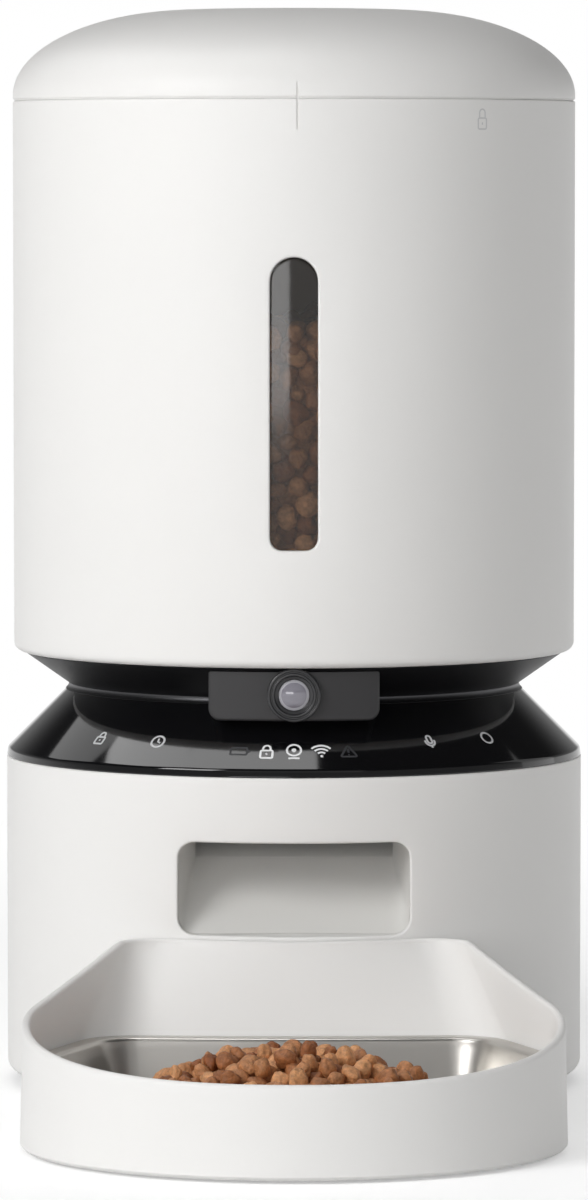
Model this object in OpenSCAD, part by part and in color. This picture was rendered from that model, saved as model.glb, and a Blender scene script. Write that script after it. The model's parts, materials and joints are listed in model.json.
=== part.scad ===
// Automatic pet feeder with camera: a round base with a food outlet, a sloping control ring,
// a narrow waist with a camera, a tall hopper with a twist lid, and a pull-off tray with a steel bowl.
// Millimetres. +Z is up, the front faces -Y, and the origin is on the feeder's axis at the floor.

/* [Base] */
// Diameter of the base shell
base_d = 195; // [188:1:205]
// Height of the base shell, from its bottom edge to the control ring
base_h = 107.5; // [104:0.5:116]
// Rounding of the bottom edge of the base shell
base_edge_r = 4; // [2:0.5:6]
// Wall thickness of the moulded shells
wall = 2.4; // [2:0.1:3]
// Height of the bottom edge above the floor
foot_h = 3.5; // [2.5:0.5:5]
// Diameter of a rubber foot
foot_d = 15; // [12:1:18]
// Distance of each foot's middle inside the base's side
foot_inset = 20.5; // [18:0.5:22]
// Width of the food outlet
outlet_w = 76; // [66:1:84]
// Height of the food outlet
outlet_h = 30.5; // [26:0.5:34]
// Height of the outlet's lower edge above the floor
outlet_z = 59; // [57:0.5:62]
// Corner radius of the food outlet
outlet_r = 5.5; // [3:0.5:9]

/* [Control ring and waist] */
// Height of the control ring, from the base shell to the neck
ring_h = 23.5; // [21:0.5:27]
// Height of the upright lip at the foot of the control ring
ring_lip_h = 2.6; // [2:0.1:4]
// Thickness of the control ring
ring_t = 2.2; // [1.8:0.1:2.6]
// Diameter at the neck
neck_d = 150; // [148:1:156]
// Height of the waist, from the neck to the hopper
waist_h = 12; // [11:0.5:15]

/* [Camera] */
// Width of the camera housing
camera_w = 56; // [48:1:64]
// Distance that the camera housing stands out from the neck
camera_depth = 15; // [13:0.5:17]
// Height of the housing's lower edge below the neck
camera_drop = 5.5; // [4:0.5:7]
// Corner radius of the housing
camera_corner_r = 4; // [2:0.5:5]
// Outer diameter of the lens bezel
bezel_d = 17.6; // [15:0.2:18]
// Diameter of the front lens
lens_d = 10; // [8:0.2:11]
// Diameter of the lens barrel
barrel_d = 13; // [12:0.2:13.6]

/* [Hopper and lid] */
// Diameter of the hopper and the lid
hopper_d = 190; // [184:1:198]
// Height of the hopper, from the waist to the lid's seam
hopper_h = 185.5; // [150:0.5:240]
// Rounding of the hopper's bottom edge
hopper_edge_r = 3; // [2:0.5:4]
// Width of the level window
window_w = 15.6; // [12:0.2:20]
// Height of the level window
window_h = 95.4; // [80:0.2:105]
// Height of the window's lower edge above the hopper's bottom
window_rise = 38.6; // [34:0.2:44]
// Corner radius at the window's lower edge
window_r = 4; // [2:0.5:6]
// Height of the lid above its seam
lid_h = 30.6; // [27:0.2:36]
// Radius of the flat crown of the lid
crown_r = 35; // [33:1:45]
// Turn of the lid from its index line to the lock mark
lid_turn = 42; // [38:1:44]
// Open gap at the lid's seam
seam_gap = 0.5; // [0.4:0.1:0.8]

/* [Dosing drive] */
// Inner radius of the dosing chamber
chamber_r = 63; // [61:0.5:64]
// Depth of the chamber's floor below the top of the base shell
chamber_sink = 7; // [6.5:0.5:9]
// Number of rotor vanes
vane_count = 6; // [5:1:8]
// Thickness of a rotor vane
vane_t = 3; // [2:0.5:4]
// Diameter of the rotor shaft
shaft_d = 8; // [6:0.5:10]
// Gear module
gear_m = 1.25; // [1.2:0.01:1.28]
// Face width of the gears
gear_face = 7; // [6:0.5:7.5]
// Teeth of the output gear on the rotor shaft
output_teeth = 44; // [43:1:45]
// Teeth of the idler's small gear
idler_small_teeth = 12; // [12:1:13]
// Teeth of the idler's large gear
idler_large_teeth = 32; // [31:1:33]
// Teeth of the motor pinion
pinion_teeth = 10; // [10:1:11]
// Clear height between the drive bracket and the chamber's floor
drive_h = 27; // [26:0.5:29]
// Diameter of the motor can
motor_d = 20.4; // [18:0.2:23]
// Length of the motor can
motor_l = 24; // [20:0.5:24]

/* [Power] */
// Diameter of a battery cell
cell_d = 33.6; // [32:0.2:34.4]
// Length of a battery cell
cell_l = 60; // [56:0.5:61.5]
// Number of battery cells
cell_count = 3; // [2:1:3]

/* [Tray and bowl] */
// Half width of the tray at its widest
tray_a = 86; // [80:1:92]
// Length of the tray in front of its widest place
tray_b = 76; // [66:1:84]
// Distance of the tray's widest place from the axis
tray_mid = 170; // [162:1:178]
// Height of the tray's back edge
tray_back_h = 58; // [52:0.5:58]
// Height of the tray's rim at its widest place
tray_side_h = 41; // [39:0.5:46]
// Height of the tray's rim at the front
tray_front_h = 30.5; // [29:0.5:33]
// Wall thickness of the tray
tray_wall = 2.8; // [2.4:0.1:3.2]
// Depth of the bowl's ledge below the front rim
ledge_drop = 2.3; // [2.2:0.1:4]
// Sheet thickness of the steel bowl
bowl_t = 0.9; // [0.8:0.1:1.2]
// Width of the bowl's flange
bowl_flange = 5; // [4:0.5:6]
// Depth of the bowl below its flange
bowl_depth = 19; // [15:0.5:20]
// Slope of the bowl's wall, measured inward over its depth
bowl_draft = 4; // [3:0.5:5]

/* [Hidden] */
$fn = 96;
// Clearance between fixed pieces, between moving pieces, and of a running shaft
fit = 0.3;
move = 0.4;
run = 0.05;

base_r = base_d / 2;
base_in = base_r - wall;
hopper_r = hopper_d / 2;
hopper_in = hopper_r - wall;
neck_r = neck_d / 2;

// Heights from the floor up
z_deck = foot_h + base_h;
z_neck = z_deck + ring_h;
z_hopper = z_neck + waist_h;
z_seam = z_hopper + hopper_h;
z_top = z_seam + lid_h;

// Bottom cover and its screws
cover_recess = 0.5;
cover_t = 2.5;
cover_z = foot_h + cover_recess;
cover_top = cover_z + cover_t;
screw_r = 1.25;
screw_bore_r = 1.3;
screw_pass_r = 1.6;
head_r = 2.8;
head_h = 1.8;
boss_r = 5;
boss_h = 26;
boss_lap = 0.6;
boss_ring_r = base_in - boss_r + boss_lap;
foot_ring_r = base_r - foot_inset;
screw_l = 14;

// Control ring
ring_step = 0.4;
ring_r = base_r - ring_step;
ring_top_land = 1.2;
ring_run = ring_r - neck_r - ring_top_land;
ring_rise = ring_h - ring_lip_h;
ring_drop = ring_t * sqrt(1 + pow(ring_rise / ring_run, 2));
function ring_z(r) = z_deck + ring_lip_h + (ring_r - r) * ring_rise / ring_run;

// Waist cone
waist_r = hopper_r - hopper_edge_r;
waist_run = waist_r - neck_r;
waist_t = wall * sqrt(1 + pow(waist_run / waist_h, 2));
// Inside of the waist at a depth below the hopper
function waist_in(depth) = waist_r - waist_t - depth * waist_run / waist_h;
hopper_screw_ring = waist_in(wall + head_h) - head_r - fit;
hopper_screw_in = 6;
land_to_screw = 3.8;
waist_land_r = hopper_screw_ring - land_to_screw;
floor_lap = 4;
hopper_floor_r = waist_land_r - floor_lap;

// Dosing chamber
chamber_wall = 3;
chamber_out = chamber_r + chamber_wall;
chamber_floor_t = 3;
chamber_z = z_deck - chamber_sink;
chamber_rise = 5.5;
chamber_top = z_neck + chamber_rise;
chamber_flange_t = 3;
chamber_flange_top = z_deck - wall;
neck_to_screw = 4.6;
chamber_screw_ring = neck_r + neck_to_screw;
screw_to_edge = 4;
chamber_flange_r = chamber_screw_ring + screw_to_edge;
chamber_screw_angles = [-5, 60, 120, 185];
deck_boss_r = 3.6;
deck_boss_h = 3.5;
floor_top = chamber_z + chamber_floor_t;
drop_r0 = 28;
drop_edge = 5;
drop_r1 = chamber_r - drop_edge;
drop_half = 33;
baffle_t = 2.4;
baffle_half = 45;
baffle_sink = 5;
baffle_z = chamber_top - baffle_sink;
spout_step = 6;
spout_r = chamber_r - spout_step;
spout_sink = 1.5;

// Rotor and drive train
shaft_r = shaft_d / 2;
hub_r = 12;
wiper_l = 4.2;
wiper_gap = 0.8;
wiper_r = chamber_r - wiper_gap;
vane_r = wiper_r - wiper_l;
wiper_t = 1.6;
rotor_gap = 0.8;
rotor_z0 = floor_top + rotor_gap;
baffle_gap = 2;
rotor_z1 = baffle_z - baffle_gap;
rotor_cap_h = 9;
rotor_bore_sink = 4;
bush_wall = 2.6;
bush_r = shaft_r + bush_wall;
bush_flange = 2;
bush_flange_r = bush_r + bush_flange;
bush_flange_t = 0.6;
bracket_t = 3;
bracket_top = chamber_z - drive_h;
bracket_z = bracket_top - bracket_t;
gear_rise = 3;
gear_gap = 2;
large_z = bracket_top + gear_rise;
small_z = large_z + gear_face + gear_gap;
gears_top = small_z + gear_face;
pressure_angle = 25;
addendum = 0.8;
dedendum = 1.1;
tooth_slack = 0.09;
flank_steps = 3;
axle_r = 2;
motor_nose_r = 3;
pinion_bore_r = 1;
function pitch_r(teeth) = gear_m * teeth / 2;
function polar(r, a) = [r * cos(a), r * sin(a)];
idler_angle = 135;
motor_angle = 0;
idler_at = polar(pitch_r(output_teeth) + pitch_r(idler_small_teeth), idler_angle);
motor_at = idler_at + polar(pitch_r(idler_large_teeth) + pitch_r(pinion_teeth), motor_angle);
post_r = 4;
post_x = 33;
post_y = [-12, 50];
post_places = [for (x = [-post_x, post_x], y = post_y) [x, y]];
bracket_margin = 6;

// Chute from the chamber's floor to the outlet
chute_t = 2;
throat_edge = 1.5;
throat_half = drop_r1 * sin(drop_half) + throat_edge;
throat_back = drop_r0 * cos(drop_half) - throat_edge;
throat_lip = 2;
throat_front = drop_r1 + throat_lip;
ramp_slope = (chamber_z - outlet_z) / (base_r - throat_back);
function ramp_z(d) = chamber_z - (d - throat_back) * ramp_slope;
ramp_t = chute_t * sqrt(1 + pow(ramp_slope, 2));
lintel_z = outlet_z + outlet_h;
mouth_d = sqrt(pow(base_in - fit, 2) - pow(outlet_w / 2, 2));
mouth_lap = 3;
mouth_step = 0.4;
sensor_r = 2.5;
sensor_l = 8;
sensor_back = 9;
sensor_d = throat_front - sensor_back;
sensor_drop = 7;
sensor_z = chamber_z - sensor_drop;
sensor_gap = 0.2;

// Camera, placed by the height of its lens
camera_reach = neck_r + camera_depth;
camera_z = z_neck - camera_drop;
camera_top = z_hopper - fit;
lens_z = (camera_z + camera_top) / 2;
camera_skin = 1.8;
bezel_r = bezel_d / 2;
bezel_seat_gap = 0.05;
bezel_proud = 2.2;
lens_r = lens_d / 2;
barrel_r = barrel_d / 2;
camera_board = [24, 1.6, 12];
camera_board_gap = 1.8;
camera_board_d = neck_r - wall - camera_board_gap;
barrel_sink = 0.9;
barrel_front = camera_reach - barrel_sink;
bezel_lip = 1.2;
sleeve_r = bezel_r - bezel_lip;
bezel_bevel = 0.6;
bezel_rim = 1;
bezel_floor = 0.9;
lens_gap = 0.2;
lens_land = 1.2;
lens_proud = 1.6;
lens_dome = 1.1;
sleeve_l = 5;
night_lamp_x = 17;
night_lamp_r = 2.5;
night_lamp_l = 3;

// Lid
lug_half = 12;
tab_half = 15;
stop_width = 4;
stop_play = 2;
tab_at = lid_turn + lug_half + stop_play + stop_width - tab_half;
tab_reach = 2.4;
tab_r = hopper_in - tab_reach;
tab_drop = 11;
tab_z = z_seam - tab_drop;
tab_t = 3;
plug_gap = 0.8;
plug_r = tab_r - plug_gap;
plug_t = 2.6;
lug_t = 3.2;
lug_z = tab_z - move - lug_t;
lug_gap = 0.7;
lug_r = hopper_in - lug_gap;
ledge_gap = 0.5;
plug_ledge_z = tab_z + tab_t + ledge_gap;
plug_ledge_t = 1.2;
plug_ledge_step = 1.6;
plug_flange_t = 2.5;
lid_skirt = 1.4;
dome_steps = 20;
case_r = 30;
case_t = 1.8;
case_h = 14;
case_z = z_top - wall - case_h;
case_lip = 0.8;
groove_h = 2.2;
groove_r = case_r + 1 + move;
cover_disc_t = 2.4;
cover_lug_t = 1.2;
cover_lug_r = case_r + 1;
cover_lug_half = 8;
cover_lug_play = 2;
cover_turn = 30;
grip = [36, 5, 3];
vent = [24, 3];
vent_pitch = 6;
mark_w = 0.8;
mark_depth = 0.6;
mark_h = 10;
lid_mark_h = 5.6;

// Hopper funnel
funnel_t = 2;
funnel_rise = 24;
funnel_z = z_hopper + wall;
funnel_foot_r = hopper_floor_r + 0.5;

// Battery bay
bay_wall = 1.6;
contact_t = 2.5;
contact_r = 7;
cell_slack = 0.6;
bay_x = cell_l / 2 + contact_t;
bay_half_y = cell_count * (cell_d + cell_slack) / 2;
bay_y = 8;
bay_top = cover_top + cell_d + 1.2;
cell_z = cover_top + 0.5 + cell_d / 2;
door_t = 2.2;
cell_places = [for (i = [0 : cell_count - 1]) bay_y + (i - (cell_count - 1) / 2) * (cell_d + cell_slack)];

// Main board on the battery bay
board_t = 1.6;
board_rise = 4;
board_z = bay_top + bay_wall + board_rise;
board_half = [30, 24];
radio_size = [18, 24, 3];
radio_x = -22;
chip_size = [14, 14, 1.6];
chip_at = [6, 4];
plug_size = [7, 6, 7];
plug_at = [4, -18];
plug_pitch = 9;
cap_r = 4;
cap_h = 11;
cap_pitch = 12;
cap_at = [25, 2];
board_shift = 24;
board_y = bay_y - board_shift;
standoff_r = 2.5;
standoff_inset = 4;
standoff_places = [for (x = [-1, 1], y = [-1, 1]) 
    [x * (board_half[0] - standoff_inset), board_y + y * (board_half[1] - standoff_inset)]];

// Speaker and power socket at the rear
speaker_r = 20;
speaker_t = 9;
speaker_drop = 30;
speaker_z = chamber_z - speaker_drop;
speaker_depth = 11;
speaker_y = base_in - speaker_depth;
collar_t = 2;
grille_slots = 5;
grille_pitch = 5;
socket_rise = 11;
socket_z = cover_top + socket_rise;
socket_w = 12;
socket_l = 14;
socket_nose_r = 4.2;
socket_bore_r = 2.9;
socket_pin_r = 1;

// Touch board and status lamps under the control ring
touch_w = 7.2;
touch_edge = 2.9;
touch_r1 = ring_r - touch_edge;
touch_r0 = touch_r1 - touch_w;
touch_half = 62;
key_angles = [-45.5, -30, 30, 45.5];
lamp_angles = [-11.2, -5.6, 0, 5.6, 11.2];
key_in = 2.6;
key_r = touch_r0 + key_in;
spring_r = 2.4;
lamp_in = 2.2;
lamp_r = touch_r0 + lamp_in;
lamp_size = 3;
lamp_h = 1.6;

// Tray tongue and the socket that takes it
tongue_x = 29.5;
tongue_rise = 2.2;
tongue_z = cover_top + tongue_rise;
tongue_t = 4.8;
tongue_in = 20;
socket_wall = 3;
tray_gap = 1;
tray_z = 1;
tray_floor_t = 2;
tray_draft = 0.6;
tray_bevel = [1, 1.2];
pad_r = 7;
pad_places = [[-52, -150], [52, -150], [-42, -208], [42, -208]];

// Tray outline at the rim and at the ledge: back edge, its radius, corner radius and corner centre
back_lean = 16.1;
back_d = [base_r + tray_gap, base_r + tray_gap + back_lean];
back_r = [base_r + tray_gap, 6 * base_r];
corner_r = [16, 24];
corner_x = [44, 50.5];
taper_b = 58;
edge_steps = 18;
corner_steps = 7;
back_steps = 4;
rim_steps = 6;
ledge_z = tray_front_h - ledge_drop;
ledge_step = 0.6;
ledge_wall = tray_wall + ledge_step;
bowl_play = 1.2;
bowl_edge = ledge_wall + bowl_play;
bowl_neck = bowl_edge + bowl_flange;
ledge_in = bowl_neck - fit;
flange_z = ledge_z + fit;
bowl_z = flange_z - bowl_depth;
bowl_fillet = 5;
// Where a fillet of one unit is at 45 degrees
fillet_mid = 0.3;

// A rectangle with rounded corners, centred
module rounded_rect(w, h, r) {
    square([w - 2 * r, h], center = true);
    square([w, h - 2 * r], center = true);
    for (x = [-1, 1], y = [-1, 1])
        translate([x * (w / 2 - r), y * (h / 2 - r)]) circle(r);
}

// Extrudes an outline of X and Z towards the front, between two distances from the axis
module front_prism(d0, d1) {
    rotate([90, 0, 0]) translate([0, 0, d0]) linear_extrude(d1 - d0) children();
}

// Extrudes an outline of Y and Z across the width
module side_prism(w) {
    rotate([90, 0, 90]) linear_extrude(w, center = true) children();
}

// A block between two radii, two heights and two angles
module arc_block(r0, r1, z0, z1, a0, a1) {
    reach = 2 * r1;
    intersection() {
        translate([0, 0, z0]) difference() {
            cylinder(r = r1, h = z1 - z0);
            translate([0, 0, -1]) cylinder(r = r0, h = z1 - z0 + 2);
        }
        translate([0, 0, z0 - 1]) linear_extrude(z1 - z0 + 2)
            polygon([[0, 0], polar(reach, a0), polar(reach, (a0 + a1) / 2), polar(reach, a1)]);
    }
}

// A tube about the axis
module tube(r0, r1, z0, z1) {
    translate([0, 0, z0]) difference() {
        cylinder(r = r1, h = z1 - z0);
        translate([0, 0, -1]) cylinder(r = r0, h = z1 - z0 + 2);
    }
}

// A pan head screw that points up, with its head below the given height
module screw(z, length) {
    translate([0, 0, z - head_h]) cylinder(r = head_r, h = head_h);
    translate([0, 0, z - 0.2]) cylinder(r = screw_r, h = length + 0.2);
}

// Solid of the control ring's and the waist's outside, grown by a clearance
module waist_envelope(grow) {
    rotate_extrude() polygon([
        [0, z_deck - 1],
        [ring_r + grow, z_deck - 1],
        [ring_r + grow, z_deck + ring_lip_h + grow],
        [neck_r + ring_top_land + grow, z_neck + grow],
        [neck_r + grow, z_neck + grow],
        [waist_r + 2 * grow, z_hopper + 0.01],
        [0, z_hopper + 0.01]
    ]);
}

// Base

module base_shell() {
    color("white") difference() {
        union() {
            rotate_extrude() difference() {
                union() {
                    translate([base_r / 2, foot_h]) square([base_r / 2 - base_edge_r, base_h]);
                    translate([base_r / 2, foot_h + base_edge_r])
                        square([base_r / 2, base_h - base_edge_r]);
                    translate([base_r - base_edge_r, foot_h + base_edge_r]) circle(base_edge_r);
                }
                translate([0, foot_h - 1]) square([base_in, base_h - wall + 1]);
                translate([0, foot_h - 1]) square([chamber_out + 2, base_h + 2]);
            }
            for (a = [45 : 90 : 315])
                rotate(a) translate([boss_ring_r, 0, cover_top]) cylinder(r = boss_r, h = boss_h);
            for (a = chamber_screw_angles)
                rotate(a) translate([chamber_screw_ring, 0, z_deck - 0.1])
                    cylinder(r = deck_boss_r, h = deck_boss_h + 0.1);
            intersection() {
                translate([0, speaker_y, speaker_z]) rotate([-90, 0, 0]) difference() {
                    cylinder(r = speaker_r + fit + collar_t, h = base_r - speaker_y);
                    translate([0, 0, -1]) cylinder(r = speaker_r + fit, h = speaker_t / 2 + 1);
                    translate([0, 0, -1]) cylinder(r = speaker_r - collar_t, h = base_r);
                }
                cylinder(r = base_r - wall / 2, h = z_deck);
            }
        }
        for (a = [45 : 90 : 315])
            rotate(a) translate([boss_ring_r, 0, cover_top - 1])
                cylinder(r = screw_bore_r, h = screw_l + 2);
        for (a = chamber_screw_angles)
            rotate(a) translate([chamber_screw_ring, 0, z_deck - wall - 1])
                cylinder(r = screw_bore_r, h = wall + deck_boss_h + 0.5);
        front_prism(base_in - 30, base_r + 5)
            translate([0, outlet_z + outlet_h / 2]) rounded_rect(outlet_w, outlet_h, outlet_r);
        front_prism(base_in - 30, base_r + 5)
            translate([0, tongue_z + tongue_t / 2])
                square([2 * (tongue_x + move), tongue_t + 2 * move], center = true);
        translate([0, base_in - 10, socket_z]) rotate([-90, 0, 0])
            cylinder(r = socket_nose_r + fit, h = 20);
        for (i = [0 : grille_slots - 1])
            translate([0, base_r, speaker_z + (i - (grille_slots - 1) / 2) * grille_pitch])
                cube([speaker_r * 1.3, 4 * wall, 2], center = true);
    }
}

module bottom_cover() {
    color("gainsboro") difference() {
        translate([0, 0, cover_z]) cylinder(r = base_in - fit, h = cover_t);
        translate([-bay_x, bay_y - bay_half_y, cover_z - 1]) cube([2 * bay_x, 2 * bay_half_y, cover_t + 2]);
        for (a = [45 : 90 : 315])
            rotate(a) translate([boss_ring_r, 0, cover_z - 1]) {
                cylinder(r = screw_pass_r, h = cover_t + 2);
                cylinder(r = head_r + fit, h = 1 + cover_t / 2);
            }
    }
}

module bottom_screws() {
    color("silver") for (a = [45 : 90 : 315])
        rotate(a) translate([boss_ring_r, 0, 0]) screw(cover_z + cover_t / 2, screw_l);
}

module rubber_feet() {
    color("dimgray") for (a = [45 : 90 : 315])
        rotate(a) translate([foot_ring_r, 0, 0]) cylinder(d = foot_d, h = cover_z);
}

// The food's way out: a throat under the chamber's floor and a flaring mouth at the outlet
module chute_space(grow) {
    hull() {
        front_prism(mouth_d, base_r) translate([0, outlet_z + outlet_h / 2])
            rounded_rect(outlet_w + 2 * grow, outlet_h + 2 * grow, outlet_r + grow, $fn = 32);
        front_prism(throat_front - mouth_lap, throat_front)
            translate([mouth_step - throat_half - grow, ramp_z(throat_front) - grow])
                square([2 * (throat_half - mouth_step + grow), lintel_z - ramp_z(throat_front) + 2 * grow]);
    }
    over = grow > 0 ? 0 : 1;
    back = throat_back - grow * ramp_t / (chute_t * ramp_slope);
    side_prism(2 * (throat_half + grow)) polygon([
        [-throat_front - grow, ramp_z(throat_front + grow) - grow * ramp_t / chute_t],
        [-back + over / ramp_slope, chamber_z + over],
        [-throat_front - grow, chamber_z + over]
    ]);
}

module chute() {
    color("white") difference() {
        intersection() {
            chute_space(chute_t);
            cylinder(r = base_in - fit, h = z_deck);
        }
        chute_space(0);
        rotate([0, 90, 0]) translate([-sensor_z, -sensor_d, -base_r])
            cylinder(r = sensor_r + fit, h = base_d);
    }
}

module outlet_sensors() {
    color("black") for (side = [-1, 1])
        translate([side * (throat_half + sensor_l / 2 + sensor_gap), -sensor_d, sensor_z])
            rotate([0, 90, 0]) cylinder(r = sensor_r, h = sensor_l, center = true);
}

module tray_socket() {
    color("gainsboro") intersection() {
        difference() {
            translate([-tongue_x - socket_wall, -base_r, cover_top])
                cube([2 * (tongue_x + socket_wall), base_r - neck_r + 14,
                    tongue_z + tongue_t + socket_wall - cover_top]);
            translate([-tongue_x - move, -base_r - 1, tongue_z - move])
                cube([2 * (tongue_x + move), base_r - neck_r + 12, tongue_t + 2 * move]);
        }
        cylinder(r = base_in - fit, h = z_deck);
    }
}

// Turns a shape about Z so that it is turned about the lens axis, with its height as distance to the front
module at_lens() {
    translate([0, 0, lens_z]) rotate([90, 0, 0]) children();
}

// Way through for the lens barrel, the bezel's sleeve and the bezel
module lens_way() {
    at_lens() cylinder(r = barrel_r + fit, h = hopper_r);
    at_lens() translate([0, 0, camera_reach - sleeve_l - fit]) cylinder(r = sleeve_r + fit, h = hopper_r);
    at_lens() translate([0, 0, camera_reach - fit]) cylinder(r = bezel_r + fit, h = hopper_r);
}

// Control ring and the electronics under it

module control_ring() {
    color("#101012") difference() {
        rotate_extrude() polygon([
            [ring_r, z_deck],
            [ring_r, z_deck + ring_lip_h],
            [neck_r + ring_top_land, z_neck],
            [neck_r + fit, z_neck],
            [neck_r + fit, ring_z(neck_r + fit) - ring_drop],
            [ring_r - ring_t, ring_z(ring_r - ring_t) - ring_drop],
            [ring_r - ring_t, z_deck]
        ]);
        lens_way();
    }
}

module touch_board() {
    color("darkgreen") arc_block(touch_r0, touch_r1, z_deck, z_deck + board_t, -90 - touch_half,
        -90 + touch_half);
}

module touch_springs() {
    color("goldenrod") for (a = key_angles)
        rotate(a - 90) translate([key_r, 0, z_deck + board_t])
            cylinder(r = spring_r, h = ring_z(key_r + spring_r) - ring_drop - fit - z_deck - board_t);
}

module status_lamps() {
    color("ivory") for (a = lamp_angles)
        rotate(a - 90) translate([lamp_r, 0, z_deck + board_t + lamp_h / 2])
            cube([lamp_size, lamp_size, lamp_h], center = true);
}

module light_guide() {
    half_w = 2;
    spread = lamp_angles[len(lamp_angles) - 1] + 2;
    color("whitesmoke") arc_block(lamp_r - half_w, lamp_r + half_w, z_deck + board_t + lamp_h,
        ring_z(lamp_r + half_w) - ring_drop - fit, -90 - spread, -90 + spread);
}

// Waist and camera

module waist_cone() {
    color("#18181a") difference() {
        rotate_extrude() polygon([
            [neck_r, z_deck],
            [neck_r, z_neck],
            [waist_r, z_hopper],
            [waist_land_r, z_hopper],
            [waist_land_r, z_hopper - wall],
            [waist_in(wall), z_hopper - wall],
            [neck_r - wall, z_neck + (waist_t - wall) * waist_h / waist_run],
            [neck_r - wall, z_deck]
        ]);
        lens_way();
        for (a = [45 : 90 : 315])
            rotate(a) translate([hopper_screw_ring, 0, z_hopper - 2 * wall])
                cylinder(r = screw_pass_r, h = 3 * wall);
    }
}

// Block with round lower corners, cut off square at the top
module camera_block(inset) {
    corner = max(camera_corner_r - inset, 0.5);
    height = camera_top - camera_z + 2 * camera_corner_r;
    intersection() {
        front_prism(neck_r - 12, hopper_r) translate([0, camera_z + inset + height / 2])
            rounded_rect(camera_w - 2 * inset, height, corner);
        cylinder(r = camera_reach - inset, h = camera_top - inset);
    }
}

module camera_housing() {
    color("#2a2a2c") difference() {
        camera_block(0);
        waist_envelope(fit);
        camera_block(camera_skin);
        at_lens() cylinder(r = sleeve_r + fit, h = hopper_r);
    }
}

module lens_bezel() {
    front = camera_reach + bezel_proud;
    seat = camera_reach + bezel_seat_gap;
    color("#1c1c1e") at_lens() rotate_extrude() polygon([
        [sleeve_r, seat],
        [bezel_r, seat],
        [bezel_r, front - bezel_bevel],
        [bezel_r - bezel_bevel, front],
        [bezel_r - bezel_bevel - bezel_rim, front],
        [lens_r + lens_gap + lens_land, camera_reach + bezel_floor],
        [lens_r + lens_gap, camera_reach + bezel_floor],
        [lens_r + lens_gap, barrel_front + lens_gap / 2],
        [barrel_r + lens_gap, barrel_front + lens_gap / 2],
        [barrel_r + lens_gap, camera_reach - sleeve_l],
        [sleeve_r, camera_reach - sleeve_l]
    ]);
}

module front_lens() {
    curve = (lens_r * lens_r + lens_dome * lens_dome) / (2 * lens_dome);
    front = camera_reach + lens_proud;
    color("#8a8894") at_lens() intersection() {
        translate([0, 0, barrel_front]) cylinder(r = lens_r, h = front - barrel_front + 1);
        translate([0, 0, front - curve]) sphere(curve);
    }
}

module lens_barrel() {
    color("#141416") at_lens() translate([0, 0, camera_board_d])
        cylinder(r = barrel_r, h = barrel_front - camera_board_d);
}

module camera_board() {
    color("darkgreen") translate([0, -camera_board_d + camera_board[1] / 2, lens_z])
        cube(camera_board, center = true);
}

module night_lamps() {
    front = sqrt(pow(camera_reach - camera_skin, 2) - pow(night_lamp_x + night_lamp_r, 2)) - fit;
    color("#3a2030") for (side = [-1, 1])
        at_lens() translate([side * night_lamp_x, 0, front - night_lamp_l])
            cylinder(r = night_lamp_r, h = night_lamp_l);
}

// Dosing chamber and rotor

module dosing_chamber() {
    color("gainsboro") difference() {
        union() {
            translate([0, 0, chamber_z]) cylinder(r = chamber_out, h = chamber_top - chamber_z);
            translate([0, 0, chamber_flange_top - chamber_flange_t])
                cylinder(r = chamber_flange_r, h = chamber_flange_t);
            for (p = post_places)
                translate([p[0], p[1], bracket_top]) cylinder(r = post_r, h = drive_h + 1);
        }
        translate([0, 0, floor_top]) cylinder(r = chamber_r, h = chamber_top);
        translate([0, 0, bracket_top]) cylinder(r = bush_r, h = drive_h + chamber_floor_t + 1);
        arc_block(drop_r0, drop_r1, chamber_z - 1, floor_top + 1, -90 - drop_half, -90 + drop_half);
        for (p = post_places)
            translate([p[0], p[1], bracket_top - 1]) cylinder(r = screw_bore_r, h = screw_l);
        for (a = chamber_screw_angles)
            rotate(a) translate([chamber_screw_ring, 0, chamber_z])
                cylinder(r = screw_pass_r, h = chamber_sink);
    }
}

module chamber_screws() {
    color("silver") for (a = chamber_screw_angles)
        rotate(a) translate([chamber_screw_ring, 0, 0])
            screw(chamber_flange_top - chamber_flange_t, chamber_flange_t + wall + deck_boss_h - 1);
}

module dosing_baffle() {
    color("gainsboro") arc_block(hub_r + 6, chamber_r - 0.1, baffle_z, baffle_z + baffle_t,
        -90 - baffle_half, -90 + baffle_half);
}

module shaft_bush() {
    color("peru") rotate_extrude() polygon([
        [shaft_r + run, chamber_z - bush_flange_t],
        [bush_flange_r, chamber_z - bush_flange_t],
        [bush_flange_r, chamber_z],
        [bush_r, chamber_z],
        [bush_r, floor_top],
        [shaft_r + run, floor_top]
    ]);
}

module dosing_rotor() {
    height = rotor_z1 - rotor_z0;
    color("lightsteelblue") difference() {
        union() {
            translate([0, 0, rotor_z0]) cylinder(r = hub_r, h = height);
            translate([0, 0, rotor_z1]) cylinder(r1 = hub_r, r2 = hub_r / 3, h = rotor_cap_h);
            for (i = [0 : vane_count - 1])
                rotate(i * 360 / vane_count) translate([hub_r / 2, -vane_t / 2, rotor_z0])
                    cube([vane_r - hub_r / 2, vane_t, height]);
        }
        translate([0, 0, rotor_z0 - 1]) cylinder(r = shaft_r, h = height + 1 - rotor_bore_sink);
    }
}

module rotor_wipers() {
    color("steelblue") for (i = [0 : vane_count - 1])
        rotate(i * 360 / vane_count) translate([vane_r, -wiper_t / 2, rotor_z0 - move])
            cube([wiper_r - vane_r, wiper_t, rotor_z1 - rotor_z0 - 1]);
}

module rotor_shaft() {
    color("lightgray") translate([0, 0, bracket_top + fit])
        cylinder(r = shaft_r, h = rotor_z1 - rotor_bore_sink - bracket_top - fit);
}

// Gear train

function involute(a) = tan(a) * 180 / PI - a;

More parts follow.
